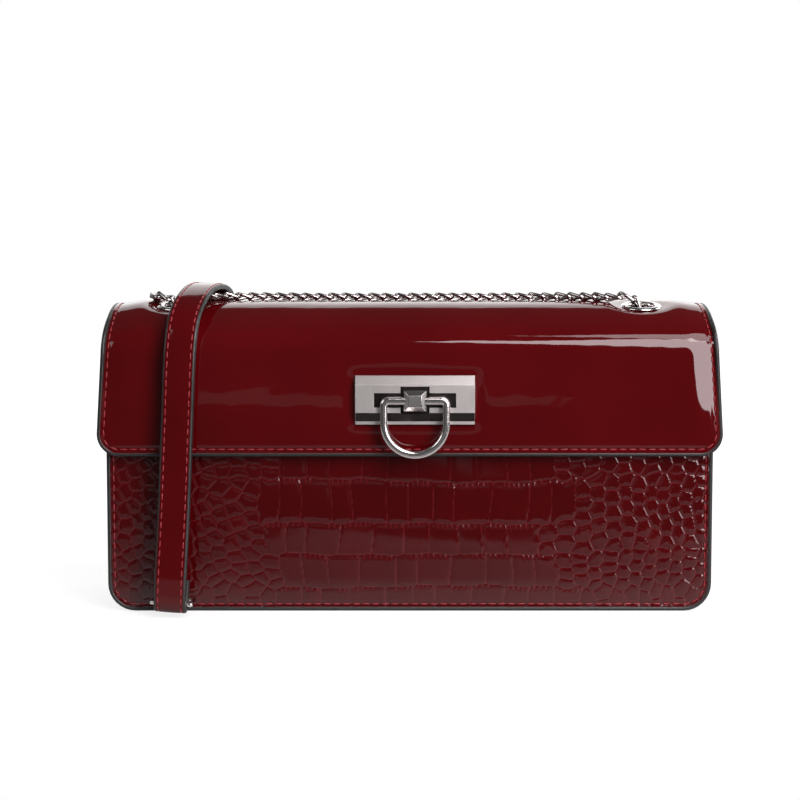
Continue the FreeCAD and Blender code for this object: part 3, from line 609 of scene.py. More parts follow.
def lay_along(tree, given, out, shape, spin):
    """Places a shape at every point, its X along the path and its Z outward, turned by spin."""
    join = tree.links.new

    def read(word):
        made = node(tree, "GeometryNodeInputNamedAttribute", data_type="FLOAT_VECTOR")
        made.inputs["Name"].default_value = word
        return made.outputs["Attribute"]
    ahead = node(tree, "FunctionNodeAlignRotationToVector", axis="X")
    join(read("along"), ahead.inputs["Vector"])
    upright = node(tree, "FunctionNodeAlignRotationToVector", axis="Z", pivot_axis="X")
    join(ahead.outputs[0], upright.inputs["Rotation"])
    join(read("outward"), upright.inputs["Vector"])
    turn = node(tree, "FunctionNodeRotateRotation", rotation_space="LOCAL")
    join(upright.outputs[0], turn.inputs[0])
    join(spin, turn.inputs[1])
    spread = node(tree, "GeometryNodeInstanceOnPoints")
    join(given.outputs["Geometry"], spread.inputs["Points"])
    join(shape, spread.inputs["Instance"])
    join(turn.outputs[0], spread.inputs["Rotation"])
    real = node(tree, "GeometryNodeRealizeInstances")
    join(spread.outputs[0], real.inputs[0])
    rounded = node(tree, "GeometryNodeSetShadeSmooth")
    join(real.outputs[0], rounded.inputs[0])
    finish = node(tree, "GeometryNodeSetMaterial")
    join(rounded.outputs[0], finish.inputs["Geometry"])
    join(given.outputs["Finish"], finish.inputs["Material"])
    join(finish.outputs[0], out.inputs[0])


def random_turn(tree, axis, amount):
    """A small seeded turn about one axis for each copy."""
    draw = node(tree, "FunctionNodeRandomValue", data_type="FLOAT")
    draw.inputs["Seed"].default_value = 7
    low = math_of(tree, "MULTIPLY", amount, -1.0)
    tree.links.new(low, draw.inputs[2])
    tree.links.new(amount, draw.inputs[3])
    spin = node(tree, "FunctionNodeAxisAngleToRotation")
    spin.inputs["Axis"].default_value = axis
    tree.links.new(draw.outputs[1], spin.inputs["Angle"])
    return spin.outputs[0]


def stitch_tree():
    """One thread crossing at every point of a seam."""
    tree, given, out = geometry_tree("seam_of_stitches", [
        ("Length", "NodeSocketFloat", 3.0 * MM), ("Width", "NodeSocketFloat", 0.7 * MM),
        ("Unevenness", "NodeSocketFloat", 0.05), ("Finish", "NodeSocketMaterial", None)])
    bead = node(tree, "GeometryNodeMeshUVSphere")
    bead.inputs["Segments"].default_value = 6
    bead.inputs["Rings"].default_value = 7
    bead.inputs["Radius"].default_value = 0.5
    size = node(tree, "ShaderNodeCombineXYZ")
    tree.links.new(given.outputs["Length"], size.inputs[2])
    tree.links.new(given.outputs["Width"], size.inputs[0])
    tree.links.new(given.outputs["Width"], size.inputs[1])
    stretched = node(tree, "GeometryNodeTransform")
    tree.links.new(bead.outputs["Mesh"], stretched.inputs["Geometry"])
    tree.links.new(size.outputs[0], stretched.inputs["Scale"])
    laid = node(tree, "GeometryNodeTransform")
    laid.inputs["Rotation"].default_value = (0, math.pi / 2, 0)
    tree.links.new(stretched.outputs[0], laid.inputs["Geometry"])
    lay_along(tree, given, out, laid.outputs[0], random_turn(tree, (0, 0, 1), given.outputs["Unevenness"]))
    return tree


def link_tree():
    """One twisted oval link at every point of a chain."""
    tree, given, out = geometry_tree("chain_of_links", [
        ("Length", "NodeSocketFloat", 8.6 * MM), ("Width", "NodeSocketFloat", CHAIN_ACROSS),
        ("Wire", "NodeSocketFloat", 1.72 * MM), ("Twist", "NodeSocketFloat", 1.5),
        ("Unevenness", "NodeSocketFloat", 0.10), ("Finish", "NodeSocketMaterial", None)])
    join = tree.links.new
    loop = node(tree, "GeometryNodeCurvePrimitiveCircle", mode="RADIUS")
    loop.inputs["Resolution"].default_value = 26
    across = math_of(tree, "SUBTRACT", given.outputs["Width"], given.outputs["Wire"])
    join(math_of(tree, "MULTIPLY", across, 0.5), loop.inputs["Radius"])
    place = node(tree, "GeometryNodeInputPosition")
    split = node(tree, "ShaderNodeSeparateXYZ")
    join(place.outputs[0], split.inputs[0])
    spare = math_of(tree, "SUBTRACT", given.outputs["Length"], given.outputs["Width"])
    half_spare = math_of(tree, "MULTIPLY", spare, 0.5)
    shift = math_of(tree, "MULTIPLY", math_of(tree, "SIGN", split.outputs["X"]), half_spare)
    offset = node(tree, "ShaderNodeCombineXYZ")
    join(shift, offset.inputs[0])
    oval = node(tree, "GeometryNodeSetPosition")
    join(loop.outputs[0], oval.inputs["Geometry"])
    join(offset.outputs[0], oval.inputs["Offset"])
    wire = node(tree, "GeometryNodeCurvePrimitiveCircle", mode="RADIUS")
    wire.inputs["Resolution"].default_value = 8
    join(math_of(tree, "MULTIPLY", given.outputs["Wire"], 0.5), wire.inputs["Radius"])
    solid = node(tree, "GeometryNodeCurveToMesh")
    join(oval.outputs[0], solid.inputs[0])
    join(wire.outputs[0], solid.inputs[1])
    share = math_of(tree, "DIVIDE", split.outputs["X"], given.outputs["Length"])
    turned = node(tree, "ShaderNodeVectorRotate", rotation_type="X_AXIS")
    join(place.outputs[0], turned.inputs["Vector"])
    join(math_of(tree, "MULTIPLY", share, given.outputs["Twist"]), turned.inputs["Angle"])
    twisted = node(tree, "GeometryNodeSetPosition")
    join(solid.outputs[0], twisted.inputs["Geometry"])
    join(turned.outputs[0], twisted.inputs["Position"])
    lay_along(tree, given, out, twisted.outputs[0], random_turn(tree, (1, 0, 0), given.outputs["Unevenness"]))
    return tree


TREES = {"stitches": stitch_tree(), "links": link_tree()}


def repeated(name, tree_word, places, along, outward, finish, **sizes):
    """A plain mesh of copies made by one of the trees."""
    mesh = bpy.data.meshes.new(name)
    mesh.from_pydata([tuple(map(float, place)) for place in places], [], [])
    for word, values in (("along", along), ("outward", outward)):
        layer = mesh.attributes.new(word, "FLOAT_VECTOR", "POINT")
        layer.data.foreach_set("vector", np.asarray(values, np.float32).ravel())
    piece = bpy.data.objects.new(name, mesh)
    bpy.context.collection.objects.link(piece)
    tree = TREES[tree_word]
    modifier = piece.modifiers.new("copies", "NODES")
    modifier.node_group = tree
    sockets = {item.name: item.identifier for item in tree.interface.items_tree
               if item.item_type == "SOCKET" and item.in_out == "INPUT"}
    modifier[sockets["Finish"]] = FINISH[finish]
    for word, value in sizes.items():
        modifier[sockets[word.title()]] = value
    baked(piece)
    for word in ("along", "outward"):
        layer = piece.data.attributes.get(word)
        if layer:
            piece.data.attributes.remove(layer)
    return piece


def seam(name, path, outward, body, pitch=4.2 * MM, closed=False, lift=0.16 * MM):
    """Stitches along a path, riding on a body."""
    outward = np.asarray(outward, float)
    places, shares = spaced(path, pitch, closed)
    line = np.vstack([path, path[:1]]) if closed else np.asarray(path)
    normals = np.vstack([outward, outward[:1]]) if closed else outward
    reach = np.concatenate([[0], np.cumsum(np.linalg.norm(np.diff(line, axis=0), axis=1))])
    reach /= reach[-1]
    facing = np.stack([np.interp(shares, reach, normals[:, axis]) for axis in range(3)], axis=1)
    facing /= np.linalg.norm(facing, axis=1)[:, None]
    piece = repeated(name, "stitches", places + facing * lift, directions(places, closed), facing, "thread",
                     length=pitch * 0.78, width=0.70 * MM)
    if body:
        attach(piece, body)
    return piece


# ---------------------------------------------------------------- flap and back: one skin
def skin_profile(step=SKIN_STEP):
    """Stations from the flap's lower edge over the top and down the back: back, up, outward, run length."""
    front_angle = math.atan2(SHOULDER_CENTRE[1] - DOME_CENTRE[1], SHOULDER_CENTRE[0] - DOME_CENTRE[0])
    fold_angle = math.atan2(FOLD_CENTRE[1] - DOME_CENTRE[1], FOLD_CENTRE[0] - DOME_CENTRE[0])
    places, facing = [], []

    def straight(start, stop, normal):
        count = max(2, int(np.linalg.norm(np.subtract(stop, start)) / step))
        for share in np.linspace(0, 1, count, endpoint=False):
            places.append(np.add(start, np.multiply(np.subtract(stop, start), share)))
            facing.append(normal)

    def arc(centre, radius, begin, end):
        count = max(4, int(radius * abs(end - begin) / step))
        for angle in np.linspace(begin, end, count, endpoint=False):
            normal = np.array([math.cos(angle), math.sin(angle)])
            places.append(centre + radius * normal)
            facing.append(normal)
    straight((FRONT_Y, FLAP_LOW[2]), (FRONT_Y, SHOULDER_CENTRE[1]), (-1, 0))
    arc(SHOULDER_CENTRE, SHOULDER_RADIUS, math.pi, front_angle)
    arc(DOME_CENTRE, DOME_RADIUS, front_angle, fold_angle)
    arc(FOLD_CENTRE, FOLD_RADIUS, fold_angle, 0.0)
    straight((FOLD[1], FOLD[2]), (BACK_HIGH[1], FOLD[2] - 14 * MM), (1, 0))
    straight((BACK_HIGH[1], FOLD[2] - 14 * MM), (BACK_HIGH[1], 0.0), (1, 0))
    places.append(np.array([BACK_HIGH[1], 0.0]))
    facing.append((1, 0))
    places, facing = np.array(places), np.array(facing, float)
    run = np.concatenate([[0], np.cumsum(np.linalg.norm(np.diff(places, axis=0), axis=1))])
    return places, facing, run


PROFILE, PROFILE_OUT, RUN = skin_profile()
RUN_END = RUN[-1]
RUN_FOLD = float(RUN[np.argmax(PROFILE[:, 0])])


def on_profile(run):
    """Back, up and outward at run lengths along the skin."""
    run = np.asarray(run, float)
    spot = np.stack([np.interp(run, RUN, PROFILE[:, axis]) for axis in (0, 1)], axis=-1)
    out = np.stack([np.interp(run, RUN, PROFILE_OUT[:, axis]) for axis in (0, 1)], axis=-1)
    return spot, out / np.linalg.norm(out, axis=-1, keepdims=True)


def side_line(run):
    """Half width of the skin before its corners are rounded."""
    spot, _ = on_profile(run)
    height = spot[..., 1]
    front = np.interp(height, [FLAP_LOW[2], FLAP_HIGH[2]], [FLAP_HIGH[0], CREST_HALF])
    onto_back = smooth(run, RUN_FOLD - 4 * MM, RUN_FOLD + 16 * MM)
    return front * (1 - onto_back) + BACK_HIGH[0] * onto_back


def rounded_end(half, reach, radius):
    """Half width near an end with round corners; reach is the distance from that end."""
    near = np.clip(radius - reach, 0, radius)
    return half - radius + np.sqrt(np.maximum(radius ** 2 - near ** 2, 0))


def half_width(run):
    half = side_line(run)
    half = rounded_end(half, run, FLAP_CORNER)
    return half + rounded_end(side_line(run), RUN_END - run, BODY_CORNER) - side_line(run)


def edge_distance(across, run):
    """Roughly how far a point of the skin is from its outline."""
    sides = half_width(run) - np.abs(across)
    return np.minimum(np.minimum(sides, run), RUN_END - run)


def skin_height(across, run):
    """How far the padded leather stands out of its nominal face.

    It swells inside the edges, dips along the seam, lies flat round the plate and the eyelets, and
    falls back towards the shoulder at the top of the flap's front.
    """
    spot, _ = on_profile(run)
    edge = edge_distance(across, run)
    sides = half_width(run) - np.abs(across)
    pad = 1.1 * MM * smooth(sides, 2.4 * MM, 13 * MM) * smooth(run, 1 * MM, 26 * MM) * smooth(
        RUN_END - run, 1 * MM, 20 * MM) - 0.45 * MM * (1 - smooth(edge, 0, 2 * MM))
    pad = pad - 0.30 * MM * bump(edge - SEAM_INSET, 0.9 * MM)
    ripple = 0.13 * MM * waves(3, across, run, 60 * MM) + 0.018 * MM * waves(13, across, run, 8 * MM, 12)
    pad = pad + ripple * smooth(edge, 4 * MM, 20 * MM)
    pad = pad - 1.5 * MM * smooth(spot[..., 1], 86 * MM, 127 * MM) * (
        1 - smooth(spot[..., 0], FRONT_Y + 2 * MM, FRONT_Y + 26 * MM))
    middle, half = (PLATE_LOW + PLATE_HIGH) / 2, (PLATE_HIGH - PLATE_LOW) / 2
    outside = np.hypot(np.maximum(np.abs(across - middle[0]) - half[0], 0),
                       np.maximum(np.abs(spot[..., 1] - middle[2]) - half[2], 0))
    on_front = spot[..., 0] < FRONT_Y + 3 * MM
    plate = np.where(on_front, smooth(outside, 0.2 * MM, 6 * MM), 1.0)
    pad = pad * plate + np.where(on_front, 0.10 * MM * bump(outside - 2.6 * MM, 1.2 * MM), 0)
    for eyelet in EYELETS:
        away = np.hypot(across - eyelet[0], spot[..., 0] - eyelet[1])
        away = np.where(spot[..., 1] > SHOULDER_CENTRE[1], away, 1.0)
        pressed = 0.4 * MM * (1 - smooth(away, 8 * MM, 10 * MM))
        pad = pad * smooth(away, EYELET_RIM, EYELET_RIM + 7 * MM) - pressed
    return pad


def skin_point(across, run, height):
    """Points of the skin, height above its nominal face."""
    spot, out = on_profile(run)
    across = np.broadcast_to(across, spot.shape[:-1])
    height = np.broadcast_to(height, spot.shape[:-1])
    return np.stack([across, spot[..., 0] + out[..., 0] * height, spot[..., 1] + out[..., 1] * height],
                    axis=-1)


def facing_at(run):
    _, out = on_profile(run)
    return np.stack([np.zeros(out.shape[:-1]), out[..., 0], out[..., 1]], axis=-1)


def fan(count_edge, span):
    """Shares from -1 to 1, closer together at both ends."""
    inner = np.linspace(-1, 1, count_edge)
    return np.sign(inner) * (1 - (1 - np.abs(inner)) ** span)


def skin_sheet(name, runs, columns, height, finish):
    """A sheet over part of the skin, one row of points for each run length."""
    share = fan(columns, 1.35)
    run = np.repeat(np.asarray(runs)[:, None], columns, axis=1)
    across = share[None, :] * (half_width(run) - EDGE_INSET)
    points = skin_point(across, run, height(across, run))
    faces = grid_faces(len(runs), columns)
    centre = points.reshape(-1, 3)
    kept = []
    for face in faces:
        middle = centre[list(face)].mean(axis=0)
        if middle[2] < SHOULDER_CENTRE[1] or all(
                math.hypot(middle[0] - eye[0], middle[1] - eye[1]) > EYELET_HOLE for eye in EYELETS):
            kept.append(face)
    piece = mesh_piece(name, centre, kept, [finish])
    face_outwards(piece)
    return piece


def end_crowded(start, stop, step, rows_at_ends=9, tight=0.35 * MM):
    """Run lengths from start to stop, close together at both ends."""
    near = np.cumsum(np.linspace(tight, step, rows_at_ends))
    middle = np.arange(near[-1] + step, (stop - start) - near[-1] - step / 2, step)
    return start + np.concatenate([[0], near, middle, (stop - start) - near[::-1], [stop - start]])


def across_fold(piece):
    """Bakes the piece's placement into its mesh."""
    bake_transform(piece)


def check_outwards(piece, spot, way):
    """Turns a sheet over if the face nearest a spot looks the wrong way."""
    faces = piece.data.polygons
    centre = Vector(spot)
    nearest = min(faces, key=lambda face: (face.center - centre).length_squared)
    if nearest.normal.dot(Vector(way)) < 0:
        piece.data.flip_normals()


def make_skin():
    runs = end_crowded(EDGE_INSET, RUN_END - EDGE_INSET, SKIN_STEP)
    skin = skin_sheet("flap_and_back_skin", runs, 150, skin_height, "patent")
    check_outwards(skin, (0.05, FRONT_Y, 0.09), (0, -1, 0))
    thickened(skin, LEATHER)
    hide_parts("flap_leather", "back_panel")
    across_fold(skin)


def outline_runs(inset, corner_steps=9, step=3.0 * MM):
    """The skin's outline, an inset in from its edge, as a closed list of (across, run)."""
    flap_r, body_r = FLAP_CORNER - inset, BODY_CORNER - inset
    half = float(side_line(np.array(FLAP_CORNER)))
    foot = float(side_line(np.array(RUN_END)))
    loop = [(x, inset) for x in np.arange(-(half - FLAP_CORNER), half - FLAP_CORNER, step)]
    turns = np.linspace(0, math.pi / 2, corner_steps)
    loop += [(half - FLAP_CORNER + flap_r * math.sin(a), FLAP_CORNER - flap_r * math.cos(a)) for a in turns]
    sides = np.arange(FLAP_CORNER + step, RUN_END - BODY_CORNER - step / 2, step * 0.6)
    loop += [(float(side_line(np.array(run))) - inset, run) for run in sides]
    loop += [(foot - BODY_CORNER + body_r * math.cos(a), RUN_END - BODY_CORNER + body_r * math.sin(a))
             for a in turns]
    loop += [(x, RUN_END - inset) for x in np.arange(foot - BODY_CORNER - step, -(foot - BODY_CORNER), -step)]
    loop += [(-(foot - BODY_CORNER) - body_r * math.sin(a), RUN_END - BODY_CORNER + body_r * math.cos(a))
             for a in turns]
    loop += [(inset - float(side_line(np.array(run))), run) for run in sides[::-1]]
    loop += [(-(half - FLAP_CORNER) - flap_r * math.cos(a), FLAP_CORNER - flap_r * math.sin(a))
             for a in turns[:-1]]
    return np.array(loop)


def oval(width, depth, corners=14, square=2.4):
    """A squarish oval section, half sizes given."""
    angles = np.arange(corners) * 2 * math.pi / corners
    x, y = np.cos(angles), np.sin(angles)
    return np.stack([np.sign(x) * np.abs(x) ** (2 / square) * width,
                     np.sign(y) * np.abs(y) ** (2 / square) * depth], axis=1)


def make_skin_edge():
    """Painted edge all round the skin: as thick as the flap's layers in front, thinner on the back."""
    loop = outline_runs(EDGE_INSET)
    run = loop[:, 1]
    thin = smooth(run, RUN_FOLD - 6 * MM, RUN_FOLD + 10 * MM)
    half_deep = (FLAP_STACK * (1 - thin) + (LEATHER + GUSSET_LEATHER) * thin) / 2
    centre = skin_point(loop[:, 0], run, -half_deep + 0.12 * MM)
    outward = facing_at(run)
    along = directions(centre, closed=True)
    side = np.cross(along, outward)
    side /= np.linalg.norm(side, axis=1)[:, None]
    section = oval(1.0, 1.0)
    rings = (centre[:, None] + side[:, None] * section[None, :, :1] * EDGE_INSET
             + outward[:, None] * section[None, :, 1:] * half_deep[:, None, None])
    faces = grid_faces(len(loop), len(section), around=True, closed=True)
    edge = mesh_piece("skin_edge", rings.reshape(-1, 3), faces, ["edge"])
    face_outwards(edge)
    across_fold(edge)


def make_skin_seam():
    loop = outline_runs(SEAM_INSET)
    path = skin_point(loop[:, 0], loop[:, 1], skin_height(loop[:, 0], loop[:, 1]))
    stitches = seam("skin_seam", path, facing_at(loop[:, 1]), None, closed=True)
    across_fold(stitches)


def make_flap_lining():
    """Cloth-backed sheet under the flap, its edge covered by the skin's painted edge."""
    runs = end_crowded(1.6 * MM, RUN_FOLD - 2 * MM, 4 * MM)

    def depth(across, run):
        return -FLAP_STACK + 0.7 * MM - 0.25 * MM * waves(11, across, run, 30 * MM) * smooth(
            edge_distance(across, run), 3 * MM, 14 * MM)
    sheet = skin_sheet("flap_lining_sheet", runs, 90, depth, "lining")
    check_outwards(sheet, (0.05, FRONT_Y, 0.09), (0, -1, 0))
    thickened(sheet, 0.7 * MM)
    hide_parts("flap_lining")
    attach(sheet, "flap")


# ---------------------------------------------------------------- embossed front
ROW_LINES = np.array([-3.0, 11.5, 27.5, 41.0, 59.5, 76.0, 94.0, 114.0]) * MM
PANEL_TOP = FRONT_HIGH[2]
WIDE_ZONE = 62 * MM


def settled(across, up):
    """Heights with the sag and drift of the rows taken out, so that the rows lie level."""
    sag = 3.4 * MM * bump(across - 8 * MM, 58 * MM) * smooth(up, 6 * MM, 22 * MM)
    drift = 0.9 * MM * np.sin(across / (19 * MM) + up / (26 * MM)) + 0.35 * MM * np.sin(across / (4.3 * MM))
    return up + sag - drift


def scale_seeds():
    """Middles and half sizes of the scales: wide ones in rows, small round ones at both sides."""
    draw = np.random.default_rng(21)
    seeds = []
    for index in range(len(ROW_LINES) - 1):
        low, high = ROW_LINES[index], ROW_LINES[index + 1]
        tall, middle = high - low, (low + high) / 2
        right = WIDE_ZONE + draw.uniform(-13, 7) * MM
        left = -WIDE_ZONE + draw.uniform(-6, 11) * MM
        across = left
        while across < right:
            wide = draw.uniform(9.0, 16.0) * MM * (1 - 0.3 * smooth(abs(across), 35 * MM, 62 * MM))
            seeds.append((across + wide / 2, middle, wide / 2, tall / 2, 7.0))
            across += wide
        rows = 2 if tall < 14.5 * MM else 3
        for part in range(rows):
            up = low + (part + 0.5) * tall / rows
            for sign, start in ((1, across), (-1, -left)):
                place = start + draw.uniform(-0.3, 1.6) * MM
                step = 0
                while place < 142 * MM:
                    size = (6.9 - 1.8 * smooth(place, 68 * MM, 112 * MM)) * MM * draw.uniform(0.86, 1.16)
                    stagger = 0.22 * tall / rows
                    rise = draw.uniform(-0.9, 0.9) * MM + (stagger if step % 2 else -stagger)
                    seeds.append((sign * (place + size / 2), up + rise, size / 2,
                                  tall / rows / 2 * 1.02, 2.1))
                    place += size
                    step += 1
    return np.array(seeds)


SEEDS = scale_seeds()


def two_nearest(across, up):
    """For each point the nearest and second nearest scale, each measured in its own half sizes."""
    first, second, number = np.empty(across.shape), np.empty(across.shape), np.zeros(across.shape, int)
    order = np.argsort(across)
    for part in np.array_split(order, max(1, len(order) // 3000)):
        near = np.flatnonzero(np.abs(SEEDS[:, 0] - across[part].mean()) < np.ptp(across[part]) / 2 + 17 * MM)
        x, z, half, tall, square = SEEDS[near].T
        away = ((np.abs(across[part][:, None] - x) / half) ** square
                + (np.abs(up[part][:, None] - z) / tall) ** square) ** (1 / square)
        best = np.argpartition(away, 1, axis=1)[:, :2]
        values = np.take_along_axis(away, best, axis=1)
        first[part], second[part] = values.min(axis=1), values.max(axis=1)
        number[part] = near[best[np.arange(len(part)), values.argmin(axis=1)]]
    return second - first, number


def cell_pattern(across, up):
    """Distance to the nearest groove, a number for each scale, and the distance to the short cross cuts."""
    shape = across.shape
    level = settled(across, up)
    bend = 0.8 * MM * np.sin(up / (6.5 * MM) + across / (17 * MM))
    bent = across + bend * smooth(np.abs(across), 0, 20 * MM)
    x, z = bent.ravel(), level.ravel()
    gap, number = two_nearest(x, z)
    small = 0.02 * MM
    slope = np.hypot(two_nearest(x + small, z)[0] - gap, two_nearest(x, z + small)[0] - gap) / small
    groove = gap / np.maximum(slope, 60.0)
    top = SEEDS[number, 1] + SEEDS[number, 3]
    wide = SEEDS[number, 4] > 4
    below = top - z
    wobble = 0.25 * np.sin(x / (9 * MM) + number)
    phase = np.abs((x / (2.3 * MM) + wobble) % 1.0 - 0.5) * 2.3 * MM
    patch = np.sin(x / (8.5 * MM) + number * 1.7) > -0.35
    cut = np.where(wide & patch & (below < 2.0 * MM), phase, 1.0)
    return groove.reshape(shape), number.reshape(shape), cut.reshape(shape)


def front_half(up):
    """Half width of the front panel at a height."""
    return rounded_end(np.full(np.shape(up), FRONT_HIGH[0]), np.asarray(up, float), BODY_CORNER)


def front_edge_distance(across, up):
    near_x = np.maximum(BODY_CORNER - (FRONT_HIGH[0] - np.abs(across)), 0)
    near_z = np.maximum(BODY_CORNER - up, 0)
    corner = BODY_CORNER - np.hypot(near_x, near_z)
    return np.where((near_x > 0) & (near_z > 0), corner, np.minimum(FRONT_HIGH[0] - np.abs(across), up))


def front_height(across, up):
    """How far the embossed leather stands out of the panel's nominal face, with its groove mask and tint."""
    edge = front_edge_distance(across, up)
    groove, number, cut = cell_pattern(across, up)
    deep = 1 - smooth(groove, 0.0, 0.38 * MM)
    cuts = 1 - smooth(cut, 0.08 * MM, 0.40 * MM)
    crown = 0.09 * MM * smooth(groove, 0.1 * MM, 2.4 * MM)
    tint = (np.sin(number * 12.9898) * 43758.5453) % 1.0
    small = SEEDS[number, 4] < 4
    emboss = crown - (0.19 + 0.05 * small) * MM * deep - 0.20 * MM * cuts
    pad = 0.3 * MM * smooth(edge, 2.5 * MM, 15 * MM) - 0.3 * MM * (1 - smooth(edge, 0, 2 * MM))
    pad = pad - 0.22 * MM * bump(edge - SEAM_INSET, 0.8 * MM)
    pad = pad + 0.10 * MM * waves(5, across, up, 42 * MM) * smooth(edge, 4 * MM, 20 * MM)
    # The second value is 0 in the grooves and cross cuts, where the material paints its pale highlight
    # colour.
    return pad + emboss - 0.2 * MM, 1 - np.maximum(deep ** 3, cuts), tint


def embossed_slab(name, low, high, step, columns):
    """Part of the front panel between two heights, closed at its back."""
    rows = np.linspace(low, high, int((high - low) / step))
    up = np.repeat(rows[:, None], columns, axis=1)
    across = np.linspace(-1, 1, columns)[None, :] * (front_half(up) - EDGE_INSET)
    height, mask, tint = front_height(across, up)
    points = np.stack([across, FRONT_LOW[1] - height, up], axis=-1).reshape(-1, 3)
    faces = grid_faces(len(rows), columns)
    last = len(rows) - 1
    rim = list(range(columns)) + [row * columns + columns - 1 for row in range(1, last + 1)]
    rim += [last * columns + column for column in range(columns - 2, -1, -1)]
    rim += [row * columns for row in range(last - 1, 0, -1)]
    back = points[rim].copy()
    back[:, 1] = FRONT_LOW[1] + LEATHER - 0.05 * MM
    start, count = len(points), len(rim)
    faces += [(rim[i], start + i, start + (i + 1) % count, rim[(i + 1) % count]) for i in range(count)]
    faces.append(tuple(range(start, start + count)))
    slab = mesh_piece(name, np.vstack([points, back]), faces, ["embossed"])
    for word, values in (("scale", mask), ("tint", tint)):
        layer = slab.data.attributes.new(word, "FLOAT", "POINT")
        layer.data.foreach_set("value", np.concatenate([values.ravel(), np.ones(count)]).astype(np.float32))
    face_outwards(slab)
    crisp(slab, 65)
    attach(slab, "case")
    return slab


def make_front():
    """Embossed panel in two heights: finest where it shows, coarser under the flap."""
    parting = FLAP_LOW[2] + 2 * MM
    fine, coarse = (((0.435 * MM, 600), (0.7 * MM, 370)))
    panel = embossed_slab("front_embossed", EDGE_INSET, parting, *fine)
    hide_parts("front_panel")
    embossed_slab("front_embossed_under_flap", parting, PANEL_TOP, *coarse)


def front_outline(inset, step=3.0 * MM, top=None):
    """The panel's two sides and lower edge, an inset in, from upper left to upper right."""
    top = PANEL_TOP - 0.4 * MM if top is None else top
    half, radius = FRONT_HIGH[0], BODY_CORNER - inset
    turns = np.linspace(0, math.pi / 2, 9)
    left = [(-(half - inset), up) for up in np.arange(top, BODY_CORNER + step / 2, -step)]
    left += [(-(half - BODY_CORNER) - radius * math.cos(a), BODY_CORNER - radius * math.sin(a))
             for a in turns]
    floor = [(x, inset) for x in np.arange(-(half - BODY_CORNER) + step, half - BODY_CORNER - step / 2, step)]
    return np.array(left + floor + [(-x, up) for x, up in left[::-1]])


def make_front_edge():
    line = front_outline(EDGE_INSET)
    deep = (LEATHER + GUSSET_LEATHER) / 2
    centre = np.stack([line[:, 0], np.full(len(line), FRONT_LOW[1] + deep - 0.12 * MM), line[:, 1]], axis=1)
    outward = np.tile([0.0, -1.0, 0.0], (len(line), 1))
    edge = swept_piece("front_edge", centre, outward, oval(EDGE_INSET, deep), ["edge"])
    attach(edge, "case")


def make_front_seam():
    line = front_outline(SEAM_INSET, top=FLAP_LOW[2] + 30 * MM)
    height, _, _ = front_height(line[:, 0], line[:, 1])
    path = np.stack([line[:, 0], FRONT_LOW[1] - height, line[:, 1]], axis=1)
    seam("front_seam", path, np.tile([0.0, -1.0, 0.0], (len(line), 1)), "case")


# ---------------------------------------------------------------- side walls and inside
def gusset_pinch(up, depth_share):
    """How far a side wall folds inwards: most at the top and in the middle of its depth."""
    return 5.5 * MM * smooth(up, 14 * MM, PANEL_TOP) * (1 - np.abs(depth_share)) ** 1.15


def wall_strip(name, half, floor, radius, near, far, thick, finish, columns=22):
    """A wall down one side, along the bottom and up the other, from near to far in depth."""
    turns = np.linspace(0, math.pi / 2, 9)
    step = 4 * MM
    left = [(-half, up, -1) for up in np.arange(PANEL_TOP, floor + radius + step / 2, -step)]
    left += [(-(half - radius) - radius * math.cos(a), floor + radius - radius * math.sin(a), -math.cos(a))
             for a in turns]
    bottom = [(x, floor, 0) for x in np.arange(-(half - radius) + step, half - radius - step / 2, step)]
    line = np.array(left + bottom + [(-x, up, -out) for x, up, out in left[::-1]])
    share = np.linspace(-1, 1, columns)
    depth = (near + far) / 2 + share * (far - near) / 2
    inwards = gusset_pinch(line[:, 1][:, None], share[None, :]) * np.abs(line[:, 2])[:, None]
    across = line[:, 0][:, None] - line[:, 2][:, None] * inwards
    points = np.stack([across, np.broadcast_to(depth[None, :], across.shape),
                       np.broadcast_to(line[:, 1][:, None], across.shape)], axis=-1)
    strip = mesh_piece(name, points.reshape(-1, 3), grid_faces(len(line), columns), [finish])
    face_outwards(strip)
    check_outwards(strip, (half, 0, 0.05), (1, 0, 0))
    return thickened(strip, thick)


def make_gusset():
    wall = wall_strip("gusset_wall", FRONT_HIGH[0], 0.0, BODY_CORNER, FRONT_HIGH[1], BACK_LOW[1],
                      GUSSET_LEATHER, "patent")
    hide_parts("gusset_left", "gusset_right", "gusset_base")
    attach(wall, "case")


def make_lining():
    low, high = (np.array(corner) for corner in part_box("gusset_lining"))
    lining = wall_strip("gusset_lining_cloth", high[0], low[2], 10 * MM, low[1], high[1], 0.8 * MM, "lining")
    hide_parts("gusset_lining")
    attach(lining, "case")
    for word, sign, seed in (("front", 1, 31), ("back", -1, 37)):
        low, high = (np.array(corner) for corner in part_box(f"{word}_lining"))
        up, across = np.meshgrid(np.linspace(low[2] + 0.5 * MM, high[2], 44),
                                 np.linspace(low[0], high[0], 90), indexing="ij")
        face = high[1] if sign > 0 else low[1]
        wrinkle = 0.28 * MM * waves(seed, across, up, 34 * MM)
        hang = smooth(high[2] - up, 0, 12 * MM) * smooth(up - low[2], 0, 12 * MM)
        inside_corner = BODY_CORNER - GUSSET_LEATHER
        room = rounded_end(np.full(up.shape, high[0]), np.maximum(up - GUSSET_LEATHER, 0), inside_corner)
        points = np.stack([across * room / high[0], face + sign * (wrinkle * hang - 0.1 * MM), up],
                          axis=-1).reshape(-1, 3)
        cloth = mesh_piece(f"{word}_lining_cloth", points, grid_faces(44, 90), ["lining"])
        face_outwards(cloth)
        check_outwards(cloth, (0, face, 0.05), (0, sign, 0))
        thickened(cloth, 0.5 * MM)
        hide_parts(f"{word}_lining")
        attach(cloth, "case")


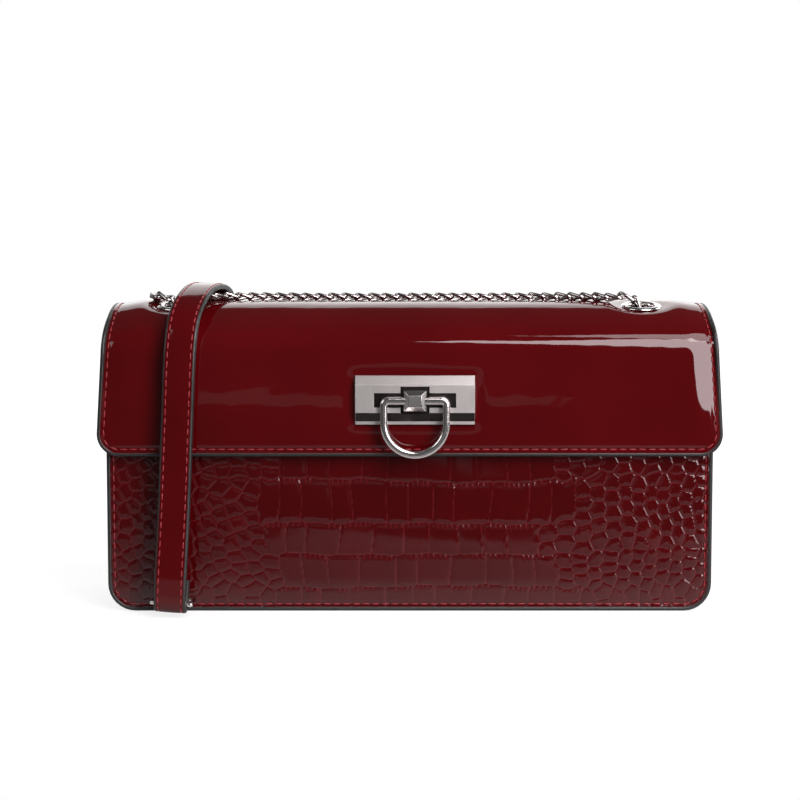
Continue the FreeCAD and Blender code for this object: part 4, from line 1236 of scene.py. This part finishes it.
def make_pocket():
    """Slip pocket with a bound top edge."""
    low, high = (np.array(corner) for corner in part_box("slip_pocket"))
    up, across = np.meshgrid(np.linspace(low[2], high[2], 30), np.linspace(low[0], high[0], 60),
                             indexing="ij")
    edge = np.minimum(np.minimum(across - low[0], high[0] - across), up - low[2])
    slack = 1.6 * MM * smooth(edge, 0, 26 * MM) * smooth(up, low[2], high[2])
    points = np.stack([across, low[1] - slack, up], axis=-1).reshape(-1, 3)
    pocket = mesh_piece("pocket_cloth", points, grid_faces(30, 60), ["lining"])
    face_outwards(pocket)
    check_outwards(pocket, (0, low[1], 0.06), (0, -1, 0))
    thickened(pocket, 0.6 * MM)
    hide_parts("slip_pocket")
    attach(pocket, "case")
    line = np.linspace(low[0], high[0], 60)
    sag = 1.6 * MM * smooth(np.minimum(line - low[0], high[0] - line), 0, 26 * MM)
    path = np.stack([line, low[1] - sag + 0.3 * MM, np.full(60, high[2])], axis=1)
    binding = swept_piece("pocket_binding", path, np.tile([0.0, 0.0, 1.0], (60, 1)), oval(1.0 * MM, 2.2 * MM),
                          ["strap"])
    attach(binding, "case")


def make_mouth_edge():
    """Painted edge over the layers at the mouth, following the folded side walls."""
    near = FRONT_LOW[1] + 1.9 * MM
    share = np.linspace(-1, 1, 21)
    depth = (FRONT_HIGH[1] + BACK_LOW[1]) / 2 + share * (BACK_LOW[1] - FRONT_HIGH[1]) / 2
    side = FRONT_HIGH[0] - 0.7 * MM - gusset_pinch(PANEL_TOP, share)
    right = np.stack([side, depth, np.full(21, PANEL_TOP)], axis=1)
    left = right * np.array([-1, 1, 1])
    front_line = np.stack([np.linspace(-1, 1, 60) * (FRONT_HIGH[0] - 1.2 * MM), np.full(60, near),
                           np.full(60, PANEL_TOP)], axis=1)
    for name, path, half in (("mouth_edge_front", front_line, 1.95 * MM),
                             ("mouth_edge_right", right, 1.2 * MM), ("mouth_edge_left", left, 1.2 * MM)):
        upright = np.tile([0.0, 0.0, 1.0], (len(path), 1))
        edge = swept_piece(name, path, upright, oval(half, 0.8 * MM), ["edge"])
        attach(edge, "case")


# ---------------------------------------------------------------- metal
def finished_copy(cad, name, body, finish, soften=0.18 * MM):
    """A CAD piece with its sharp edges eased and its round faces smooth."""
    mesh = bpy.data.objects[cad].data.copy()
    mesh.name = name
    mesh.materials.clear()
    mesh.materials.append(FINISH[finish])
    piece = bpy.data.objects.new(name, mesh)
    bpy.context.collection.objects.link(piece)
    work = bmesh.new()
    work.from_mesh(mesh)
    bmesh.ops.remove_doubles(work, verts=work.verts, dist=1e-6)
    bmesh.ops.dissolve_limit(work, angle_limit=math.radians(1.0), verts=work.verts, edges=work.edges)
    for face in work.faces:
        face.smooth = True
        face.material_index = 0
    work.to_mesh(mesh)
    work.free()
    if soften:
        ease = piece.modifiers.new("ease", "BEVEL")
        ease.width, ease.segments, ease.limit_method = soften, 3, "ANGLE"
        ease.angle_limit = math.radians(28)
        ease.harden_normals = False
        even = piece.modifiers.new("even", "WEIGHTED_NORMAL")
        even.keep_sharp = True
    baked(piece)
    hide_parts(cad)
    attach(piece, body)
    return piece


def make_drop_ring():
    """Ring with a straight bar, short legs and a half circle, in a slightly squared wire."""
    low, high = (np.array(corner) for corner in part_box("d_ring"))
    wire = (high[1] - low[1]) / 2
    radius = (high[0] - low[0]) / 2 - wire
    middle = (low[0] + high[0]) / 2
    plane = (low[1] + high[1]) / 2
    bar_up = high[2] - wire
    centre_up = low[2] + wire + radius
    ease = 1.9 * MM
    path = [(x, bar_up) for x in np.linspace(-(radius - ease), radius - ease, 14)]
    turns = np.linspace(0, math.pi / 2, 25)
    path += [(radius - ease + ease * math.sin(a), bar_up - ease + ease * math.cos(a)) for a in turns[1:]]
    path += [(radius, up) for up in np.linspace(bar_up - ease, centre_up, 5)[1:]]
    path += [(radius * math.cos(a), centre_up - radius * math.sin(a))
             for a in np.linspace(0, math.pi, 121)[1:]]
    path += [(-radius, up) for up in np.linspace(centre_up, bar_up - ease, 5)[1:]]
    path += [(-(radius - ease) - ease * math.cos(a), bar_up - ease + ease * math.sin(a)) for a in turns[1:-1]]
    rough = np.array([(middle + x, plane, up) for x, up in path])
    line, _ = spaced(rough, 0.45 * MM, closed=True)
    outward = np.tile([0.0, -1.0, 0.0], (len(line), 1))
    ring = swept_piece("drop_ring", line, outward, oval(wire, wire, 24, 2.6), ["nickel"], closed=True)
    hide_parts("d_ring")
    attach(ring, "ring")


EYELET_FORWARD = -8 * MM


def make_eyelet(word, eye):
    """Turned ring with a rolled face, square to the dome."""
    tilt = math.asin((DOME_BACK - EYELET_FORWARD) / DOME_RADIUS)
    path_r, path_z = eyelet_section()
    turns = np.linspace(0, 2 * math.pi, 64, endpoint=False)
    points = np.array([[(r * math.cos(a), r * math.sin(a), z) for r, z in zip(path_r, path_z)]
                       for a in turns])
    turn = np.array(Matrix.Rotation(tilt, 3, "X"))
    top = np.array([eye[0], EYELET_FORWARD, DOME_CENTRE[1] + math.sqrt(
        DOME_RADIUS ** 2 - (DOME_BACK - EYELET_FORWARD) ** 2)])
    placed = points.reshape(-1, 3) @ turn.T + top
    faces = grid_faces(64, len(path_r), around=True, closed=True)
    piece = mesh_piece(f"eyelet_{word}_ring", placed, faces, ["nickel"])
    face_outwards(piece)
    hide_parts(f"eyelet_{word}")
    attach(piece, "flap")


def eyelet_section():
    """Closed section of an eyelet: tube outside and in, and a rolled flange."""
    flange = [(6.0 + 1.5 - 1.5 * math.cos(a), 0.02 + 0.62 * math.sin(a))
              for a in np.linspace(0, math.pi / 2, 6)]
    flange += [(7.5 + 1.5 * math.sin(a), -0.38 + 1.02 * math.cos(a))
               for a in np.linspace(0.2, math.pi / 2, 7)]
    outside = [(6.8, -0.38), (6.8, -5.4), (6.4, -5.7), (6.0, -5.4)]
    section = np.array(flange + outside) * MM
    return section[:, 0], section[:, 1]


def make_lock():
    plate = finished_copy("lock_plate", "lock_plate_face", "flap", "satin", 0.16 * MM)
    plate.data.materials.append(FINISH["recess"])
    plate.data.materials.append(FINISH["facet"])
    rim_low, rim_high = PLATE_LOW + 2.6 * MM, PLATE_HIGH - 2.6 * MM
    for face in plate.data.polygons:
        spot, sunk = face.center, face.center.y > PLATE_LOW[1] + 0.25 * MM
        inside = rim_low[0] < spot.x < rim_high[0] and rim_low[2] + 1.2 * MM < spot.z < rim_high[2] - 1.2 * MM
        # Faces sunk inside the rim take the near black metal.
        if sunk and inside:
            face.material_index = 1
        # Upward faces take the darker metal, a painted shade.
        elif face.normal.z > 0.3:
            face.material_index = 2
    finished_copy("lock_stud", "lock_stud_point", "flap", "nickel", 0.16 * MM)


def dress_hidden():
    """Plain finishes for the pieces that the leather covers."""
    words = {"front_board": "board", "back_board": "board", "base_board": "board", "flap_board": "board",
             "body_magnet": "magnet", "flap_magnet": "magnet", "lock_backing_plate": "steel",
             "lock_screws": "steel", "eyelet_washer_left": "nickel", "eyelet_washer_right": "nickel"}
    for cad, finish in words.items():
        part = bpy.data.objects[cad]
        if not part.material_slots:
            part.data.materials.append(FINISH[finish])
        for holder in part.material_slots:
            holder.material = FINISH[finish]


# ---------------------------------------------------------------- chain and strap
CHAIN_RIGHT = [
    (102, -7.6, 123.5), (102, -8.4, 135.3), (90, -6.6, 135.4), (79.5, 0.5, 135.6), (64, 7.5, 135.3),
    (40, 10.4, 134.9), (12, 9.3, 135.0), (-16, 10.6, 134.9), (-44, 9.4, 135.0), (-68, 9.0, 135.1),
    (-82.5, 5.5, 135.4), (-91.5, -5.5, 135.6), (-95.3, -18.5, 132.6), (-96.2, -33.6, 126.0),
    (-96.6, -38.9, 115.0), (-97.2, -38.6, 100.0), (-97.5, -38.9, 82.0), (-98.4, -38.4, 62.0),
    (-98.8, -38.3, 43.0), (-99.9, -37.4, 25.0), (-100.6, -37.5, 8.4),
]
CHAIN_LEFT = [
    (-102, -7.6, 123.5), (-102, -8.4, 135.3), (-112.6, -4.4, 135.7), (-113.6, 6.5, 135.4),
    (-108.0, 17.0, 134.2), (-97.4, 24.2, 132.1),
]
CHAIN_INNER = [
    (102, -7.6, 123.5), (102, -7.16, 117.0), (96.5, -7.0, 112.9), (85, -6.8, 112.0), (62, -6.4, 113.1),
    (33, -6.9, 112.2), (2, -6.5, 113.0), (-30, -6.9, 112.3), (-60, -6.5, 113.1), (-85, -6.8, 112.0),
    (-96.5, -7.0, 112.9), (-102, -7.16, 117.0), (-102, -7.6, 123.5),
]
STRAP = [
    (14.5, 134.1), (23.3, 131.8), (24.5, 136.8), (14.5, 139.4), (3.5, 140.5), (-8.0, 140.1),
    (-20.0, 137.5), (-31.0, 133.4), (-39.5, 126.6), (-43.6, 116.5), (-44.4, 103.0), (-44.2, 88.0),
    (-44.5, 72.0), (-44.6, 56.0), (-45.2, 41.0), (-46.4, 27.0), (-47.3, 14.5), (-47.2, 3.3),
    (-42.1, 3.3), (-41.9, 16.0),
]
STRAP_PLACE = (Matrix.Translation((-95.9 * MM, 0, 0)) @ Matrix.Rotation(math.radians(2.4), 4, "Y")
               @ Matrix.Rotation(math.radians(-8), 4, "Z"))
LINK_PITCH = 6.0 * MM


def in_metres(points):
    return [tuple(value * MM for value in point) for point in points]


def make_chain(name, cad, points, first_outward):
    path = smooth_route(name, in_metres(points))
    places, _ = spaced(path, LINK_PITCH)
    outward = carried_frame(places, first_outward)
    chain = repeated(name, "links", places, directions(places), outward, "chain",
                     length=LINK_PITCH + 3.5 * MM, width=CHAIN_ACROSS)
    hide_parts(cad)
    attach(chain, "flap")
    return chain


def strap_section():
    """Leather faces slightly crowned, with painted round edges: offsets and a finish for each side."""
    half, thick = STRAP_WIDTH / 2, STRAP_THICK / 2
    face = [(-0.86, 0.98), (-0.72, 0.90), (-0.60, 1.0), (-0.3, 1.04), (0.3, 1.04), (0.60, 1.0), (0.72, 0.90),
            (0.86, 0.98)]
    right = [(0.945, 0.86), (0.99, 0.5), (1.0, 0.0), (0.99, -0.5), (0.945, -0.86)]
    under = [(-x, -y) for x, y in face]
    left = [(-x, -y) for x, y in right]
    section = np.array(face + right + under + left) * np.array([half, thick])
    marks = [0] * (len(face) - 1) + [1] * (len(right) + 1) + [0] * (len(face) - 1) + [1] * (len(left) + 1)
    return section, marks


def make_strap():
    local = [(0.0, back * MM, up * MM) for back, up in STRAP]
    path = smooth_route("strap_leather_length", [tuple(STRAP_PLACE @ Vector(point)) for point in local])
    wide = np.array(STRAP_PLACE.to_3x3() @ Vector((1, 0, 0)))
    along = directions(path)
    outward = np.cross(wide[None, :], along)
    if outward[len(outward) // 2][1] > 0:
        outward = -outward
    section, marks = strap_section()
    strap = swept_piece("strap_leather_length", path, outward, section, ["strap", "edge"], side_finish=marks)
    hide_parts("strap_leather")
    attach(strap, "flap")
    shown = slice(int(len(path) * 0.14), int(len(path) * 0.96))
    for word, sign in (("left", -1), ("right", 1)):
        line = (path[shown] + wide * sign * (STRAP_WIDTH / 2 - 1.95 * MM)
                + outward[shown] * (STRAP_THICK / 2 - 0.1 * MM))
        seam(f"strap_seam_{word}", line, outward[shown], "flap", pitch=4.0 * MM,
             lift=0.05 * MM)


def make_strap_and_chain():
    for word in ("upper", "lower"):
        finished_copy(f"strap_ring_{word}", f"strap_ring_{word}_wire", "flap", "nickel",
                                    0)
    make_chain("chain_right_links", "chain_right_run", CHAIN_RIGHT, (-1, -0.2, 0))
    make_chain("chain_left_links", "chain_left_run", CHAIN_LEFT, (1, -0.2, 0))
    make_chain("chain_inner_links", "chain_inner_run", CHAIN_INNER, (1, 0, 0))
    make_strap()


# ---------------------------------------------------------------- floor
FLOOR_NEAR, FLOOR_FAR, FLOOR_HALF = -0.24, 1.8, 1.6
FLOOR_GREY = 0.27
FLOOR_SEEN_NEAR, FLOOR_SEEN_FAR = 0.80, 1.0
FLOOR_MIRRORED = 0.45


def make_floor():
    """Pale sheet, white to look at, that keeps the object's shadow.

    It ends a little in front, so that the leather mirrors the dim room past it, and its glow in metal
    and leather starts under the object and goes on behind.
    """
    mesh = bpy.data.meshes.new("floor")
    corners = [(-FLOOR_HALF, FLOOR_NEAR, 0), (FLOOR_HALF, FLOOR_NEAR, 0), (FLOOR_HALF, FLOOR_FAR, 0),
               (-FLOOR_HALF, FLOOR_FAR, 0)]
    mesh.from_pydata(corners, [], [(0, 1, 2, 3)])
    floor = bpy.data.objects.new("floor", mesh)
    bpy.context.collection.objects.link(floor)
    material, tree, shader = new_material("floor_white")
    shader.inputs["Base Color"].default_value = (FLOOR_GREY, FLOOR_GREY, FLOOR_GREY, 1)
    shader.inputs["Roughness"].default_value = 0.7
    path = node(tree, "ShaderNodeLightPath")
    shader.inputs["Emission Color"].default_value = (1, 1, 1, 1)
    place = node(tree, "ShaderNodeTexCoord").outputs["Object"]
    away = node(tree, "ShaderNodeVectorMath", operation="LENGTH")
    split = node(tree, "ShaderNodeSeparateXYZ")
    tree.links.new(place, away.inputs[0])
    tree.links.new(place, split.inputs[0])
    seen = math_of(tree, "MULTIPLY", path.outputs["Is Camera Ray"],
                   remap(tree, away.outputs["Value"], 0.20, 0.75, FLOOR_SEEN_NEAR, FLOOR_SEEN_FAR))
    mirrored = math_of(tree, "MAXIMUM", path.outputs["Is Glossy Ray"], path.outputs["Is Transmission Ray"])
    behind = remap(tree, split.outputs["Y"], -0.11, -0.04, 0.0, FLOOR_MIRRORED)
    glow = math_of(tree, "MULTIPLY", mirrored, behind)
    tree.links.new(math_of(tree, "MAXIMUM", seen, glow), shader.inputs["Emission Strength"])
    mesh.materials.append(material)


# ---------------------------------------------------------------- everything
set_camera()
make_strap_and_chain()
make_skin()
make_skin_edge()
make_skin_seam()
make_flap_lining()
make_front()
make_front_edge()
make_front_seam()
make_gusset()
make_lining()
make_pocket()
make_mouth_edge()
make_drop_ring()
for side_word, eyelet_spot in zip(("left", "right"), EYELETS):
    make_eyelet(side_word, eyelet_spot)
make_lock()
dress_hidden()
make_floor()
set_lights()
set_world()
bpy.context.scene.view_settings.view_transform = "Standard"
